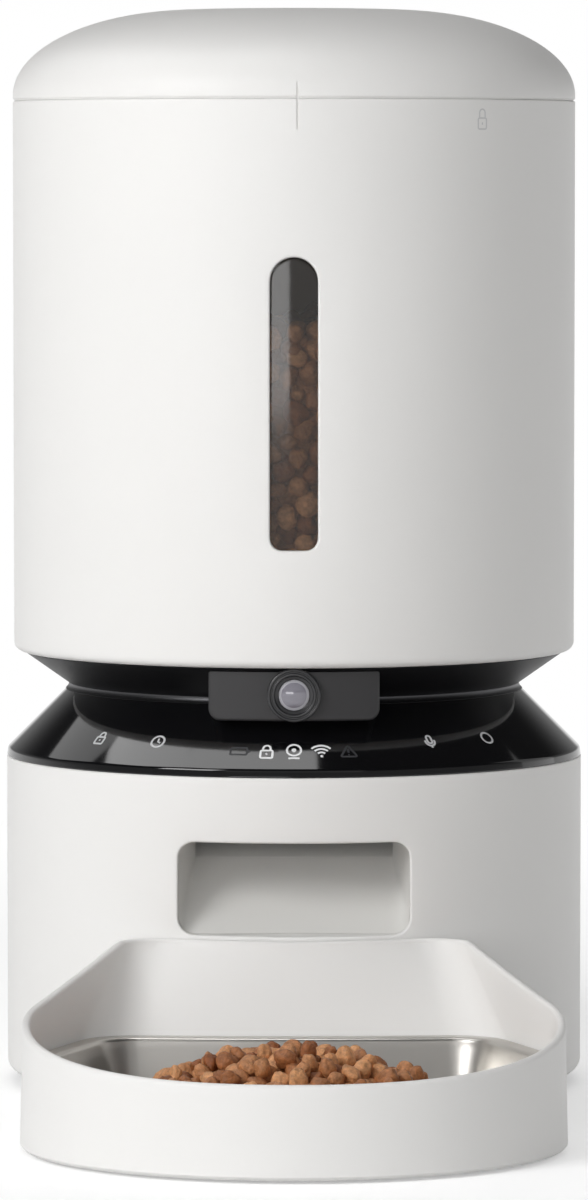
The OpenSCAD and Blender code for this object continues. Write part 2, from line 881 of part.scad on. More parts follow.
// Half the angle of a tooth at a radius
function tooth_half(r, teeth) =
    90 / teeth - tooth_slack / pitch_r(teeth) * 180 / PI + involute(pressure_angle)
    - involute(acos(min(1, pitch_r(teeth) * cos(pressure_angle) / r)));

// Outline of a gear with the middle of one tooth at the given angle
module gear_outline(teeth, at) {
    tip = pitch_r(teeth) + addendum * gear_m;
    root = pitch_r(teeth) - dedendum * gear_m;
    start = max(root, pitch_r(teeth) * cos(pressure_angle));
    flank = [for (k = [0 : flank_steps]) start + (tip - start) * k / flank_steps];
    edge = concat([root], flank);
    polygon([for (i = [0 : teeth - 1]) each concat(
        [for (r = edge) polar(r, at + i * 360 / teeth - tooth_half(max(r, start), teeth))],
        [for (k = [len(edge) - 1 : -1 : 0])
            polar(edge[k], at + i * 360 / teeth + tooth_half(max(edge[k], start), teeth))])]);
}

module output_gear() {
    color("oldlace") difference() {
        union() {
            translate([0, 0, small_z]) linear_extrude(gear_face) gear_outline(output_teeth, idler_angle);
            translate([0, 0, small_z]) cylinder(r = shaft_r + 5, h = gear_face + 4);
        }
        translate([0, 0, small_z - 1]) cylinder(r = shaft_r, h = gear_face + 6);
    }
}

module idler_gear() {
    color("oldlace") difference() {
        translate([idler_at[0], idler_at[1], large_z]) {
            linear_extrude(gear_face) gear_outline(idler_large_teeth, motor_angle);
            linear_extrude(gears_top - large_z)
                gear_outline(idler_small_teeth, idler_angle + 180 + 180 / idler_small_teeth);
        }
        translate([idler_at[0], idler_at[1], large_z - 1])
            cylinder(r = axle_r + run, h = gears_top - large_z + 2);
    }
}

module motor_pinion() {
    overhang = 0.5;
    color("gold") difference() {
        translate([motor_at[0], motor_at[1], large_z - overhang]) linear_extrude(gear_face + 2 * overhang)
            gear_outline(pinion_teeth, motor_angle + 180 + 180 / pinion_teeth);
        translate([motor_at[0], motor_at[1], large_z - 2]) cylinder(r = pinion_bore_r, h = gear_face + 4);
    }
}

module drive_bracket() {
    depth = post_y[1] - post_y[0] + 2 * bracket_margin;
    boss_top = large_z + gear_face - 1;
    color("gainsboro") difference() {
        union() {
            translate([0, (post_y[0] + post_y[1]) / 2, bracket_z]) linear_extrude(bracket_t)
                rounded_rect(2 * (post_x + bracket_margin), depth, bracket_margin);
            translate([0, 0, bracket_z]) cylinder(r = shaft_r + 4, h = boss_top - bracket_z);
            translate([idler_at[0], idler_at[1], bracket_z])
                cylinder(r = axle_r + 2.5, h = bracket_t + gear_rise - move);
        }
        translate([0, 0, bracket_top]) cylinder(r = shaft_r + run, h = drive_h);
        translate([idler_at[0], idler_at[1], bracket_z - 1]) cylinder(r = axle_r, h = drive_h);
        translate([motor_at[0], motor_at[1], bracket_z - 1])
            cylinder(r = motor_nose_r + fit, h = bracket_t + 2);
        for (p = post_places)
            translate([p[0], p[1], bracket_z - 1]) cylinder(r = screw_pass_r, h = bracket_t + 2);
    }
}

module bracket_screws() {
    color("silver") for (p = post_places)
        translate([p[0], p[1], 0]) screw(bracket_z, bracket_t + screw_l - 3);
}

module idler_axle() {
    color("lightgray") translate([idler_at[0], idler_at[1], bracket_z])
        cylinder(r = axle_r, h = gears_top + 3 - bracket_z);
}

module idler_clip() {
    clip_z = gears_top + move;
    color("dimgray") translate([idler_at[0], idler_at[1], 0]) tube(axle_r, axle_r + 2, clip_z, clip_z + 1);
}

module motor() {
    color("lightgray") translate([motor_at[0], motor_at[1], 0]) difference() {
        union() {
            translate([0, 0, bracket_z - motor_l]) cylinder(d = motor_d, h = motor_l);
            translate([0, 0, bracket_z - 1]) cylinder(r = motor_nose_r, h = 1 + bracket_t / 2);
        }
        translate([0, 0, bracket_z - 6]) cylinder(r = pinion_bore_r + run, h = 6 + bracket_t);
    }
}

module motor_shaft() {
    bottom = bracket_z - 6 + fit;
    color("silver") translate([motor_at[0], motor_at[1], bottom])
        cylinder(r = pinion_bore_r, h = large_z + gear_face - bottom);
}

// Power and electronics

module battery_bay() {
    size = [2 * (bay_x + bay_wall), 2 * (bay_half_y + bay_wall), bay_top + bay_wall - cover_top];
    color("gainsboro") difference() {
        union() {
            translate([-size[0] / 2, bay_y - size[1] / 2, cover_top]) cube(size);
            for (p = standoff_places)
                translate([p[0], p[1], bay_top]) cylinder(r = standoff_r, h = board_z - bay_top);
        }
        translate([-bay_x, bay_y - bay_half_y, cover_top - 1])
            cube([2 * bay_x, 2 * bay_half_y, bay_top - cover_top + 1]);
    }
}

module battery_contacts() {
    color("silver") for (y = cell_places, side = [-1, 1])
        translate([side * (bay_x - contact_t / 2), y, cell_z]) rotate([0, 90, 0])
            cylinder(r = contact_r, h = contact_t, center = true);
}

module battery_cells() {
    nub = 1.5;
    color("#b08d2e") for (y = cell_places) translate([-cell_l / 2, y, cell_z]) rotate([0, 90, 0]) {
        cylinder(d = cell_d, h = cell_l - nub);
        cylinder(r = 4.5, h = cell_l);
    }
}

module battery_door() {
    groove_r = 6;
    color("gainsboro") difference() {
        translate([move - bay_x, bay_y - bay_half_y + move, cover_z])
            cube([2 * (bay_x - move), 2 * (bay_half_y - move), door_t]);
        translate([0, bay_y - bay_half_y + 12, cover_z - groove_r + 1]) rotate([0, 90, 0])
            cylinder(r = groove_r, h = 24, center = true);
    }
}

module main_board() {
    color("darkgreen") translate([-board_half[0], board_y - board_half[1], board_z])
        cube([2 * board_half[0], 2 * board_half[1], board_t]);
}

module radio_module() {
    color("silver") translate([radio_x, board_y - radio_size[1] / 2, board_z + board_t]) cube(radio_size);
}

module board_parts() {
    top = board_z + board_t;
    color("#26262a") {
        translate([chip_at[0], board_y + chip_at[1], top]) cube(chip_size);
        for (i = [0 : 2]) translate([plug_at[0] + plug_pitch * i, board_y + plug_at[1], top]) cube(plug_size);
        for (i = [0 : 1]) translate([cap_at[0], board_y + cap_at[1] + cap_pitch * i, top]) cylinder(r = cap_r, h = cap_h);
    }
}

module speaker() {
    frame_t = speaker_t / 2;
    color("#26262a") translate([0, speaker_y, speaker_z]) rotate([-90, 0, 0]) difference() {
        union() {
            cylinder(r = speaker_r, h = frame_t);
            translate([0, 0, -speaker_t + frame_t]) cylinder(r = speaker_r / 2, h = frame_t + 1);
        }
        translate([0, 0, frame_t - 2])
            cylinder(r1 = speaker_r / 3, r2 = speaker_r - collar_t - 1, h = 2.01);
    }
}

module power_socket() {
    color("#1c1c1e") difference() {
        union() {
            translate([-socket_w / 2, base_in - 2 - socket_l, cover_top])
                cube([socket_w, socket_l, socket_z - cover_top + socket_w / 2]);
            translate([0, base_in - 4, socket_z]) rotate([-90, 0, 0])
                cylinder(r = socket_nose_r, h = 4 + wall - fit);
        }
        translate([0, base_in - 8, socket_z]) rotate([-90, 0, 0]) difference() {
            cylinder(r = socket_bore_r, h = 20);
            translate([0, 0, -1]) cylinder(r = socket_pin_r, h = 9);
        }
    }
}

// Hopper

// Outline of the level window in X and Z, round at the top
module window_outline(grow) {
    z0 = z_hopper + window_rise;
    half_w = window_w / 2;
    low_w = window_w - 2 * window_r;
    translate([-half_w - grow, z0 + window_r]) square([window_w + 2 * grow, window_h - window_r - half_w]);
    translate([0, z0 + window_h - half_w]) circle(half_w + grow);
    translate([-low_w / 2, z0 - grow]) square([low_w, window_r + grow + 1]);
    for (side = [-1, 1]) translate([side * low_w / 2, z0 + window_r]) circle(window_r + grow);
}

module hopper_shell() {
    screw_boss_h = 9;
    color("white") difference() {
        union() {
            rotate_extrude() {
                translate([hopper_in, z_hopper + hopper_edge_r]) square([wall, hopper_h - hopper_edge_r]);
                translate([hopper_floor_r, z_hopper])
                    square([hopper_r - hopper_edge_r - hopper_floor_r, wall]);
                translate([hopper_r - hopper_edge_r, z_hopper + hopper_edge_r]) circle(hopper_edge_r);
            }
            for (a = [45 : 90 : 315])
                rotate(a) translate([hopper_screw_ring, 0, z_hopper])
                    cylinder(r = deck_boss_r, h = screw_boss_h);
            for (a = [0 : 90 : 270]) {
                first = a + tab_at - tab_half;
                last = a + tab_at + tab_half;
                arc_block(tab_r, hopper_in + wall / 2, tab_z, tab_z + tab_t, first, last);
                arc_block(tab_r, hopper_in + wall / 2, lug_z, tab_z + 0.1, last - stop_width, last);
            }
        }
        front_prism(hopper_in - 10, hopper_r + 5) window_outline(0);
        for (a = [45 : 90 : 315])
            rotate(a) translate([hopper_screw_ring, 0, z_hopper - 1])
                cylinder(r = screw_bore_r, h = screw_boss_h);
        translate([-mark_w / 2, -hopper_r - 1, z_seam - mark_h]) cube([mark_w, 1 + mark_depth, mark_h + 1]);
    }
}

module level_window() {
    flange = 4;
    flange_t = 1.6;
    color("#3a3634") {
        intersection() {
            tube(hopper_in - flange_t, hopper_r - fit, z_hopper, z_seam);
            front_prism(hopper_in - 20, hopper_r + 5) window_outline(-0.1);
        }
        intersection() {
            tube(hopper_in - flange_t, hopper_in - 0.05, z_hopper, z_seam);
            front_prism(hopper_in - 20, hopper_r + 5) window_outline(flange);
        }
    }
}

module hopper_funnel() {
    mouth_r = hopper_in - fit;
    slope = (funnel_rise - 1) / (mouth_r - spout_r);
    drop = funnel_t * sqrt(1 + slope * slope);
    foot_z = funnel_z + 1 + (funnel_foot_r - spout_r) * slope;
    color("whitesmoke") rotate_extrude() polygon([
        [spout_r, chamber_top - spout_sink],
        [spout_r, funnel_z + 1],
        [mouth_r, funnel_z + funnel_rise],
        [mouth_r, funnel_z + funnel_rise - drop],
        [funnel_foot_r + funnel_t, foot_z + funnel_t * slope - drop],
        [funnel_foot_r + funnel_t, funnel_z],
        [funnel_foot_r, funnel_z],
        [funnel_foot_r, foot_z - drop],
        [spout_r + funnel_t, funnel_z + 1 + funnel_t * slope - drop],
        [spout_r + funnel_t, chamber_top - spout_sink]
    ]);
}

module hopper_screws() {
    color("silver") for (a = [45 : 90 : 315])
        rotate(a) translate([hopper_screw_ring, 0, 0]) screw(z_hopper - wall, wall + hopper_screw_in);
}

// Lid

module lid_seal() {
    color("lightgray") tube(plug_r + fit, hopper_in - fit, plug_ledge_z + plug_ledge_t + fit,
        z_seam + seam_gap - fit);
}

// Points of the lid's domed profile, from its skirt to its crown, set in by a thickness
function dome(inset) = [for (k = [0 : dome_steps])
    let (t = 90 * k / dome_steps, z0 = z_seam + seam_gap + lid_skirt)
    [crown_r + (hopper_r - crown_r - inset) * cos(t), z0 + (z_top - z0 - inset) * sin(t)]];

module lid_cap() {
    skin = dome(wall);
    color("white") difference() {
        rotate_extrude() polygon(concat(
            [[hopper_r, z_seam + seam_gap]],
            dome(0),
            [[0, z_top], [0, z_top - wall]],
            [for (k = [dome_steps : -1 : 0]) skin[k]],
            [[hopper_r - wall, z_seam + seam_gap]]));
        translate([-mark_w / 2, -hopper_r - 1, z_seam]) cube([mark_w, 1 + mark_depth, lid_mark_h]);
    }
}

module lid_plug() {
    color("whitesmoke") {
        tube(plug_r - plug_t, plug_r, lug_z - fit, z_seam + seam_gap + plug_flange_t);
        tube(plug_r - 1, hopper_in - fit, z_seam + seam_gap, z_seam + seam_gap + plug_flange_t);
        tube(plug_r - 1, hopper_in - plug_ledge_step, plug_ledge_z, plug_ledge_z + plug_ledge_t);
        for (a = [0 : 90 : 270])
            arc_block(plug_r - 1, lug_r, lug_z, lug_z + lug_t, a - lug_half, a + lug_half);
    }
}

module desiccant_case() {
    color("whitesmoke") difference() {
        tube(case_r, groove_r + case_t, case_z, z_top - wall);
        tube(case_r - 1, groove_r, case_z + case_lip, case_z + case_lip + groove_h);
        for (a = [0 : 120 : 240])
            arc_block(case_r - 1, groove_r, case_z - 1, case_z + case_lip + 0.2,
                a + cover_turn - cover_lug_half - cover_lug_play,
                a + cover_turn + cover_lug_half + cover_lug_play);
    }
}

module desiccant_cover() {
    color("whitesmoke") difference() {
        union() {
            translate([0, 0, case_z]) cylinder(r = case_r - move, h = cover_disc_t);
            for (a = [0 : 120 : 240])
                arc_block(case_r - 2, cover_lug_r, case_z + cover_disc_t - cover_lug_t,
                    case_z + cover_disc_t,
                    a - cover_lug_half, a + cover_lug_half);
            translate([0, 0, case_z - grip[2]]) linear_extrude(grip[2] + 1)
                rounded_rect(grip[0], grip[1], 2);
        }
        for (i = [-3 : 3]) if (i != 0)
            translate([-vent[0] / 2, i * vent_pitch - vent[1] / 2, case_z - 1])
                cube([vent[0], vent[1], 2 * cover_disc_t]);
    }
}

module desiccant_pack() {
    color("aliceblue") translate([0, 0, case_z + cover_disc_t + fit])
        cylinder(r = case_r - 2, h = case_h - cover_disc_t - 2 * fit);
}

// Tray and bowl

// Point of the front and side curve of the tray with the given outward direction
function side_point(a) =
    let (b = a > 0 ? tray_b : taper_b, h = norm([tray_a * cos(a), b * sin(a)]))
    [tray_a * tray_a * cos(a) / h, tray_mid + b * b * sin(a) / h];

// Outline values at a level, 0 at the rim and 1 at the ledge
function corner_d(level) = back_d[level] - back_r[level]
    + sqrt(pow(back_r[level] + corner_r[level], 2) - pow(corner_x[level], 2));
function corner_turn(level) = asin(corner_x[level] / (back_r[level] + corner_r[level]));

// How far the side curve reaches beyond the corner circle in a direction
function side_lead(a, level) =
    let (p = side_point(a))
    (p[0] - corner_x[level]) * cos(a) + (p[1] - corner_d(level)) * sin(a) - corner_r[level];

// Direction in which one straight line touches both the side curve and the corner circle
function side_normal(level, low = -80, high = 0, tries = 24) =
    let (mid = (low + high) / 2)
    tries == 0 ? mid
    : side_lead(mid, level) > 0 ? side_normal(level, low, mid, tries - 1)
    : side_normal(level, mid, high, tries - 1);

// Right half of the tray's outline, from the front to the back, as width and distance from the axis
function tray_half(inset, level) =
    let (turn = side_normal(level), last = -90 - corner_turn(level), back = back_r[level] + inset)
    concat(
        [for (k = [0 : edge_steps])
            let (a = 90 + (turn - 90) * k / edge_steps) side_point(a) - inset * [cos(a), sin(a)]],
        [for (k = [0 : corner_steps])
            let (a = turn + (last - turn) * k / corner_steps)
            [corner_x[level], corner_d(level)] + (corner_r[level] - inset) * [cos(a), sin(a)]],
        [for (k = [1 : back_steps])
            let (a = corner_turn(level) * (1 - k / back_steps))
            [back * sin(a), back_d[level] - back_r[level] + back * cos(a)]]);

// Whole outline, anticlockwise from the front
function tray_outline(inset, level) =
    let (half = tray_half(inset, level), n = len(half))
    concat([for (p = half) [p[0], -p[1]]], [for (k = [n - 2 : -1 : 1]) [-half[k][0], -half[k][1]]]);

// Height of the rim: the front, side and back heights are joined by one power curve
front_d = tray_mid + tray_b;
rim_back_d = corner_d(0) - corner_r[0] / 2;
rim_power = ln((tray_side_h - tray_front_h) / (tray_back_h - tray_front_h))
    / ln(tray_b / (front_d - rim_back_d));
function rim_height(d) = tray_front_h + (tray_back_h - tray_front_h)
    * pow(min(1, max(0, (front_d - d) / (front_d - rim_back_d))), rim_power);
rim_heights = [for (p = tray_outline(0, 0)) rim_height(-p[1])];

// A ring of points at one height, or at a depth below the rim
function level_ring(inset, level, z) = [for (p = tray_outline(inset, level)) [p[0], p[1], z]];
function rim_ring(inset, drop) =
    let (outline = tray_outline(inset, 0))
    [for (k = [0 : len(outline) - 1]) [outline[k][0], outline[k][1], rim_heights[k] - drop]];

// A closed skin through rings of equal length, capped at the first and the last
module loft(rings) {
    n = len(rings[0]);
    last = len(rings) - 1;
    polyhedron(
        points = [for (ring = rings) each ring],
        faces = concat(
            [[for (k = [0 : n - 1]) k]],
            [for (j = [0 : last - 1], k = [0 : n - 1])
                [j * n + k, (j + 1) * n + k, (j + 1) * n + (k + 1) % n]],
            [for (j = [0 : last - 1], k = [0 : n - 1])
                [j * n + k, (j + 1) * n + (k + 1) % n, j * n + (k + 1) % n]],
            [[for (k = [n - 1 : -1 : 0]) last * n + k]]));
}

module tray_shell() {
    half = tray_wall / 2;
    rim = [for (k = [0 : rim_steps])
        let (a = 180 * k / rim_steps) rim_ring(half * (1 - cos(a)), half * (1 - sin(a)))];
    tongue_back = back_d[1] + tray_wall;
    color("white") {
        loft(concat(
            [level_ring(tray_bevel[0], 1, tray_z),
             level_ring(-tray_draft, 1, tray_z + tray_bevel[1]),
             level_ring(0, 1, ledge_z)],
            rim,
            [level_ring(ledge_wall, 1, ledge_z),
             level_ring(ledge_in, 1, ledge_z),
             level_ring(ledge_in, 1, tray_z + tray_floor_t)]));
        translate([-tongue_x, -tongue_back, tongue_z])
            cube([2 * tongue_x, tongue_back - base_r + tongue_in, tongue_t]);
    }
}

module tray_pads() {
    color("dimgray") for (p = pad_places) translate([p[0], p[1], 0]) cylinder(r = pad_r, h = tray_z);
}

module steel_bowl() {
    foot = bowl_neck + bowl_draft;
    color("silver") loft([
        level_ring(foot + bowl_fillet, 1, bowl_z),
        level_ring(foot + bowl_fillet * fillet_mid, 1, bowl_z + bowl_fillet * fillet_mid),
        level_ring(foot, 1, bowl_z + bowl_fillet),
        level_ring(bowl_neck, 1, flange_z),
        level_ring(bowl_edge, 1, flange_z),
        level_ring(bowl_edge, 1, flange_z + bowl_t),
        level_ring(bowl_neck, 1, flange_z + bowl_t),
        level_ring(bowl_neck + bowl_t, 1, flange_z),
        level_ring(foot + bowl_t, 1, bowl_z + bowl_fillet),
        level_ring(foot + bowl_fillet * fillet_mid + bowl_t * (1 - fillet_mid), 1,
            bowl_z + bowl_fillet * fillet_mid + bowl_t * (1 - fillet_mid)),
        level_ring(foot + bowl_fillet, 1, bowl_z + bowl_t)
    ]);
}

base_shell();
bottom_cover();
bottom_screws();
rubber_feet();
chute();
outlet_sensors();
control_ring();
touch_board();
touch_springs();
status_lamps();
light_guide();
waist_cone();
camera_housing();
lens_bezel();
front_lens();
lens_barrel();
camera_board();
night_lamps();
dosing_chamber();
chamber_screws();
dosing_baffle();
shaft_bush();
dosing_rotor();
rotor_wipers();
rotor_shaft();
output_gear();
drive_bracket();
bracket_screws();
idler_axle();
idler_gear();
idler_clip();
motor();
motor_shaft();
motor_pinion();
battery_bay();
battery_contacts();
battery_cells();
battery_door();
main_board();
radio_module();
board_parts();
speaker();
power_socket();
tray_socket();
hopper_shell();
level_window();
hopper_funnel();
hopper_screws();
lid_seal();
lid_cap();
lid_plug();
desiccant_case();
desiccant_cover();
desiccant_pack();
tray_shell();
tray_pads();
steel_bowl();
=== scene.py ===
"""Looks of an automatic pet feeder with a camera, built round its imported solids.

Mesh code works in millimetres in the part's own frame: Z up, the front towards -Y, the origin on the
upright axis at the floor. Angles round the axis start at the front and grow towards +X.
"""

import json
import math
import random

import bmesh
import bpy
from mathutils import Euler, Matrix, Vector, noise


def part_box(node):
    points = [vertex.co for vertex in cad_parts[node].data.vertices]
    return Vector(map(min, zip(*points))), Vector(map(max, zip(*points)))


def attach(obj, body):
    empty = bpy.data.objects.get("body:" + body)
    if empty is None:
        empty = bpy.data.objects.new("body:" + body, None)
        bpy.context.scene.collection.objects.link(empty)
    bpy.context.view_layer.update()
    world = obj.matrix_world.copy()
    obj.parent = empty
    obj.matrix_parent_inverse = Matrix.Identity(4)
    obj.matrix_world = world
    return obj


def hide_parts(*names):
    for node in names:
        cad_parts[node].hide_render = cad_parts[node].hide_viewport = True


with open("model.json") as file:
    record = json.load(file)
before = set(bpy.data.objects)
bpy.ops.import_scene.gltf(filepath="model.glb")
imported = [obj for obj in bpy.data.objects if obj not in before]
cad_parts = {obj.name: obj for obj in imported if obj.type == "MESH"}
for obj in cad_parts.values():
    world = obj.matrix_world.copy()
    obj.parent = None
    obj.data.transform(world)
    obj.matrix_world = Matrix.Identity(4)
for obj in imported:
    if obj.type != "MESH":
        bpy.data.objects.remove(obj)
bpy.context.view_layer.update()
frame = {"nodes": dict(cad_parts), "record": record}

bl_info = {
    "name": "Automatic pet feeder",
    "version": (1, 0, 0),
    "blender": (4, 5, 0),
    "location": "3D View > Sidebar > Feeder",
    "description": "Dresses the feeder's solids with filleted shells, finishes, food and a studio stage",
    "category": "Object",
}

MM = 0.001
COLUMNS = 240
TURN = 2 * math.pi

# Heights, radii and distances shared by several pieces, in millimetres
DECK = 111.0
NECK = 134.5
HOPPER = 146.5
SEAM = 332.0
TOP = 362.6
WALL = 2.4
NECK_R = 75.0
RING_R = 97.1
RING_LIP = 113.6
WAIST_R = 92.0
LENS_Z = 137.6
LENS_D = 90.0
BARREL_WAY = 5.3
BARREL_BACK = 60.0
WINDOW_CORNER = 4.0


def linear(code):
    """Linear red, green and blue of an sRGB hex colour."""
    out = []
    for k in (1, 3, 5):
        c = int(code[k:k + 2], 16) / 255
        out.append(c / 12.92 if c <= 0.04045 else ((c + 0.055) / 1.055) ** 2.4)
    return tuple(out)


def length(label, words, default):
    """A size in metres for the sidebar, given in millimetres."""
    return bpy.props.FloatProperty(
        name=label, description=words, default=default * MM, min=0.0, unit="LENGTH")


def colour(label, words, code):
    """A colour for the sidebar, given as sRGB hex."""
    return bpy.props.FloatVectorProperty(
        name=label, description=words, default=linear(code), size=3, min=0.0, max=1.0, subtype="COLOR")


class FeederSizes(bpy.types.PropertyGroup):
    """Sizes of the feeder's outer shells and of the food."""

    base_radius: length("Base radius", "Outside of the base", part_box("base_shell")[1].x / MM)
    base_edge: length("Base edge", "Rounding of the base's lower edge", 4.0)
    hopper_radius: length(
        "Hopper radius", "Outside of the hopper and the lid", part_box("hopper_shell")[1].x / MM)
    hopper_edge: length("Hopper edge", "Rounding of the hopper's lower edge", 3.0)
    hole_edge: length("Hole edge", "Rounding round the outlet and the window", 0.9)
    outlet_width: length("Outlet width", "Width of the food outlet", 76.0)
    outlet_low: length("Outlet sill", "Height of the outlet's lower edge", 59.0)
    outlet_high: length("Outlet lintel", "Height of the outlet's upper edge", 89.5)
    outlet_corner: length("Outlet corner", "Corner radius of the outlet", 5.5)
    window_width: length("Window width", "Width of the level window", 15.6)
    window_low: length("Window foot", "Height of the window's lower edge", 185.1)
    window_high: length("Window top", "Height of the window's round top", 280.5)
    camera_width: length("Camera width", "Width of the camera housing", 56.0)
    camera_low: length("Camera foot", "Height of the housing's lower edge", 129.0)
    bezel_radius: length("Bezel radius", "Outside of the lens bezel", 8.8)
    lens_radius: length("Lens radius", "Outside of the front lens", 5.0)
    symbol: length("Symbol size", "Height of a printed symbol", 6.4)
    stroke: length("Symbol stroke", "Width of a printed line", 0.7)
    tray_wall: length("Tray wall", "Thickness of the tray's wall", 2.8)
    bowl_food: length("Food in the bowl", "Width of one piece of food in the bowl", 6.7)
    hopper_food: length("Food in the hopper", "Width of one piece of food in the hopper", 7.2)
    fill_level: length("Fill level", "Height of the food in the hopper", 258.0)


class FeederColours(bpy.types.PropertyGroup):
    """Colours of the feeder's finishes."""

    white: colour("White shell", "Outer shells, lid and tray", "#EFEEEC")
    inner: colour("Inner white", "Chute, funnel and chamber", "#DEDDDA")
    grey: colour("Grey plastic", "Bottom cover and brackets", "#8F9092")
    gloss: colour("Gloss black", "Control ring", "#0B0B0D")
    satin: colour("Satin black", "Waist under the hopper", "#0F0F11")
    trim: colour("Neck trim", "Thin cove at the foot of the waist", "#4A4A4C")
    housing: colour("Camera grey", "Camera housing", "#242325")
    bezel: colour("Bezel black", "Ring round the lens", "#2C2C2E")
    # Pale lilac grey of the lens: the painted sheen of its coating
    lens: colour("Lens", "Front lens, its coating's sheen painted into the colour", "#807E88")
    # Paler colour of the lens's rim: a painted highlight of its edge
    lens_rim_highlight: colour("Lens rim highlight", "Rim of the front lens, painted paler as a highlight", "#A9A8AE")
    smoke: colour("Smoked window", "Level window", "#261F19")
    ink: colour("Lamp ink", "Lit symbols on the control ring", "#F2F3F4")
    key_ink: colour("Key ink", "Touch symbols on the control ring", "#C6C7C9")
    dim_ink: colour("Dim ink", "Unlit symbols on the control ring", "#343538")
    mark_ink: colour("Mark ink", "Small mark on the hopper", "#D2D2D2")
    steel: colour("Bowl steel", "Brushed steel bowl", "#C8C5C0")
    food_dark: colour("Food, dark", "Darkest baked pieces", "#955426")
    food_light: colour("Food, light", "Palest baked pieces", "#EBAC76")
    floor: colour("Floor", "Studio floor", "#F2F2F2")


def sizes():
    """The sizes of the scene in millimetres, by name."""
    group = bpy.context.scene.feeder_sizes
    return {key: getattr(group, key) / MM for key in FeederSizes.__annotations__}


def colours():
    """The colour group of the scene."""
    return bpy.context.scene.feeder_colours


# Mesh making


class Skin:
    """Faces of one piece, gathered in millimetres and welded when the piece is made."""

    def __init__(self):
        self.points = []
        self.faces = []
        self.marks = []

    def patch(self, rows, around=False, mark=0):
        """Four-sided faces between rows of equal length; around joins the ends of each row."""
        start = len(self.points)
        width = len(rows[0])
        for row in rows:
            self.points.extend(row)
        for j in range(len(rows) - 1):
            for i in range(width if around else width - 1):
                a = start + j * width + i
                b = start + j * width + (i + 1) % width
                self.faces.append((a, b, b + width, a + width))
                self.marks.append(mark)

    def cap(self, ring, mark=0):
        """One flat face over a ring of points."""
        start = len(self.points)
        self.points.extend(ring)
        self.faces.append(tuple(range(start, start + len(ring))))
        self.marks.append(mark)

    def loft(self, rings):
        """A closed skin through rings of points, with a flat face over each end."""
        self.patch(rings, True)
        self.cap(rings[0])
        self.cap(rings[-1])

    def piece(self, name, weld=0.004):
        """An object in the scene with this skin."""
        return link(name, self.mesh(name, weld))

    def mesh(self, name, weld=0.004):
        """A closed mesh in metres with its faces turned outwards."""
        mesh = bpy.data.meshes.new(name)
        mesh.from_pydata([[c * MM for c in p] for p in self.points], [], self.faces)
        mesh.polygons.foreach_set("material_index", self.marks)
        work = bmesh.new()
        work.from_mesh(mesh)
        bmesh.ops.remove_doubles(work, verts=work.verts, dist=weld * MM)
        bmesh.ops.dissolve_degenerate(work, edges=work.edges, dist=weld * MM / 4)
        bmesh.ops.recalc_face_normals(work, faces=work.faces)
        work.to_mesh(mesh)
        work.free()
        return mesh


def link(name, mesh):
    """An object in the scene for a mesh."""
    piece = bpy.data.objects.new(name, mesh)
    bpy.context.scene.collection.objects.link(piece)
    return piece


def cut(piece, *tools, operation="DIFFERENCE"):
    """Cut closed tool meshes out of a piece, or join them to it, and drop the tools."""
    for mesh in tools:
        tool = link("tool", mesh)
        change = piece.modifiers.new("cut", "BOOLEAN")
        change.operation = operation
        change.solver = "EXACT"
        change.object = tool
        seen = bpy.context.evaluated_depsgraph_get()
        result = bpy.data.meshes.new_from_object(piece.evaluated_get(seen))
        piece.modifiers.clear()
        old = piece.data
        piece.data = result
        result.name = old.name
        bpy.data.meshes.remove(old)
        bpy.data.objects.remove(tool)
        bpy.data.meshes.remove(mesh)
    if not piece.data.polygons:
        raise RuntimeError(piece.name + " was lost in a cut")


def finish_piece(piece, body, materials, nodes=(), crease=32):
    """Shade a piece, give it its materials, and tie it to its body and to the solids it stands for."""
    piece.data.shade_smooth()
    piece.data.set_sharp_from_angle(angle=math.radians(crease))
    # A piece with marked faces had its materials before it was cut, and keeps them
    if not piece.data.materials:
        for made in materials:
            piece.data.materials.append(made)
    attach(piece, body)
    if nodes:
        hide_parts(*nodes)
    return piece


def upright(r, z, a):
    """Point at a radius, height and angle round the feeder's axis."""
    return (r * math.sin(a), -r * math.cos(a), z)


def along_lens(r, d, a):
    """Point at a radius and angle round the lens axis, at a distance in front of the feeder's axis."""
    return (r * math.cos(a), -d, LENS_Z + r * math.sin(a))


def lathe(skin, profile, place=upright, closed=True, columns=COLUMNS, mark=0):
    """Turn a profile of radii and heights round an axis."""
    run = list(profile)
    if closed:
        run.append(run[0])
    skin.patch([[place(r, h, TURN * i / columns) for i in range(columns)] for r, h in run], True, mark)


def rounded(corners, steps=6):
    """Closed outline whose corners, given as x, y and radius, are rounded."""
    out = []
    count = len(corners)
    for k, (x, y, radius) in enumerate(corners):
        here = Vector((x, y))
        if radius <= 0:
            out.append((x, y))
            continue
        back = Vector(corners[k - 1][:2]) - here
        on = Vector(corners[(k + 1) % count][:2]) - here
        half = back.angle(on) / 2
        middle = here + (back.normalized() + on.normalized()).normalized() * (radius / math.sin(half))
        first = here + back.normalized() * (radius / math.tan(half)) - middle
        last = here + on.normalized() * (radius / math.tan(half)) - middle
        start = math.atan2(first.y, first.x)
        sweep = (math.atan2(last.y, last.x) - start + math.pi) % TURN - math.pi
        for s in range(steps + 1):
            a = start + sweep * s / steps
            out.append((middle.x + radius * math.cos(a), middle.y + radius * math.sin(a)))
    return out


def rounded_box(x0, y0, x1, y1, radius, steps=4):
    """Closed outline of an upright box with rounded corners."""
    return rounded([(x0, y0, radius), (x1, y0, radius), (x1, y1, radius), (x0, y1, radius)], steps)


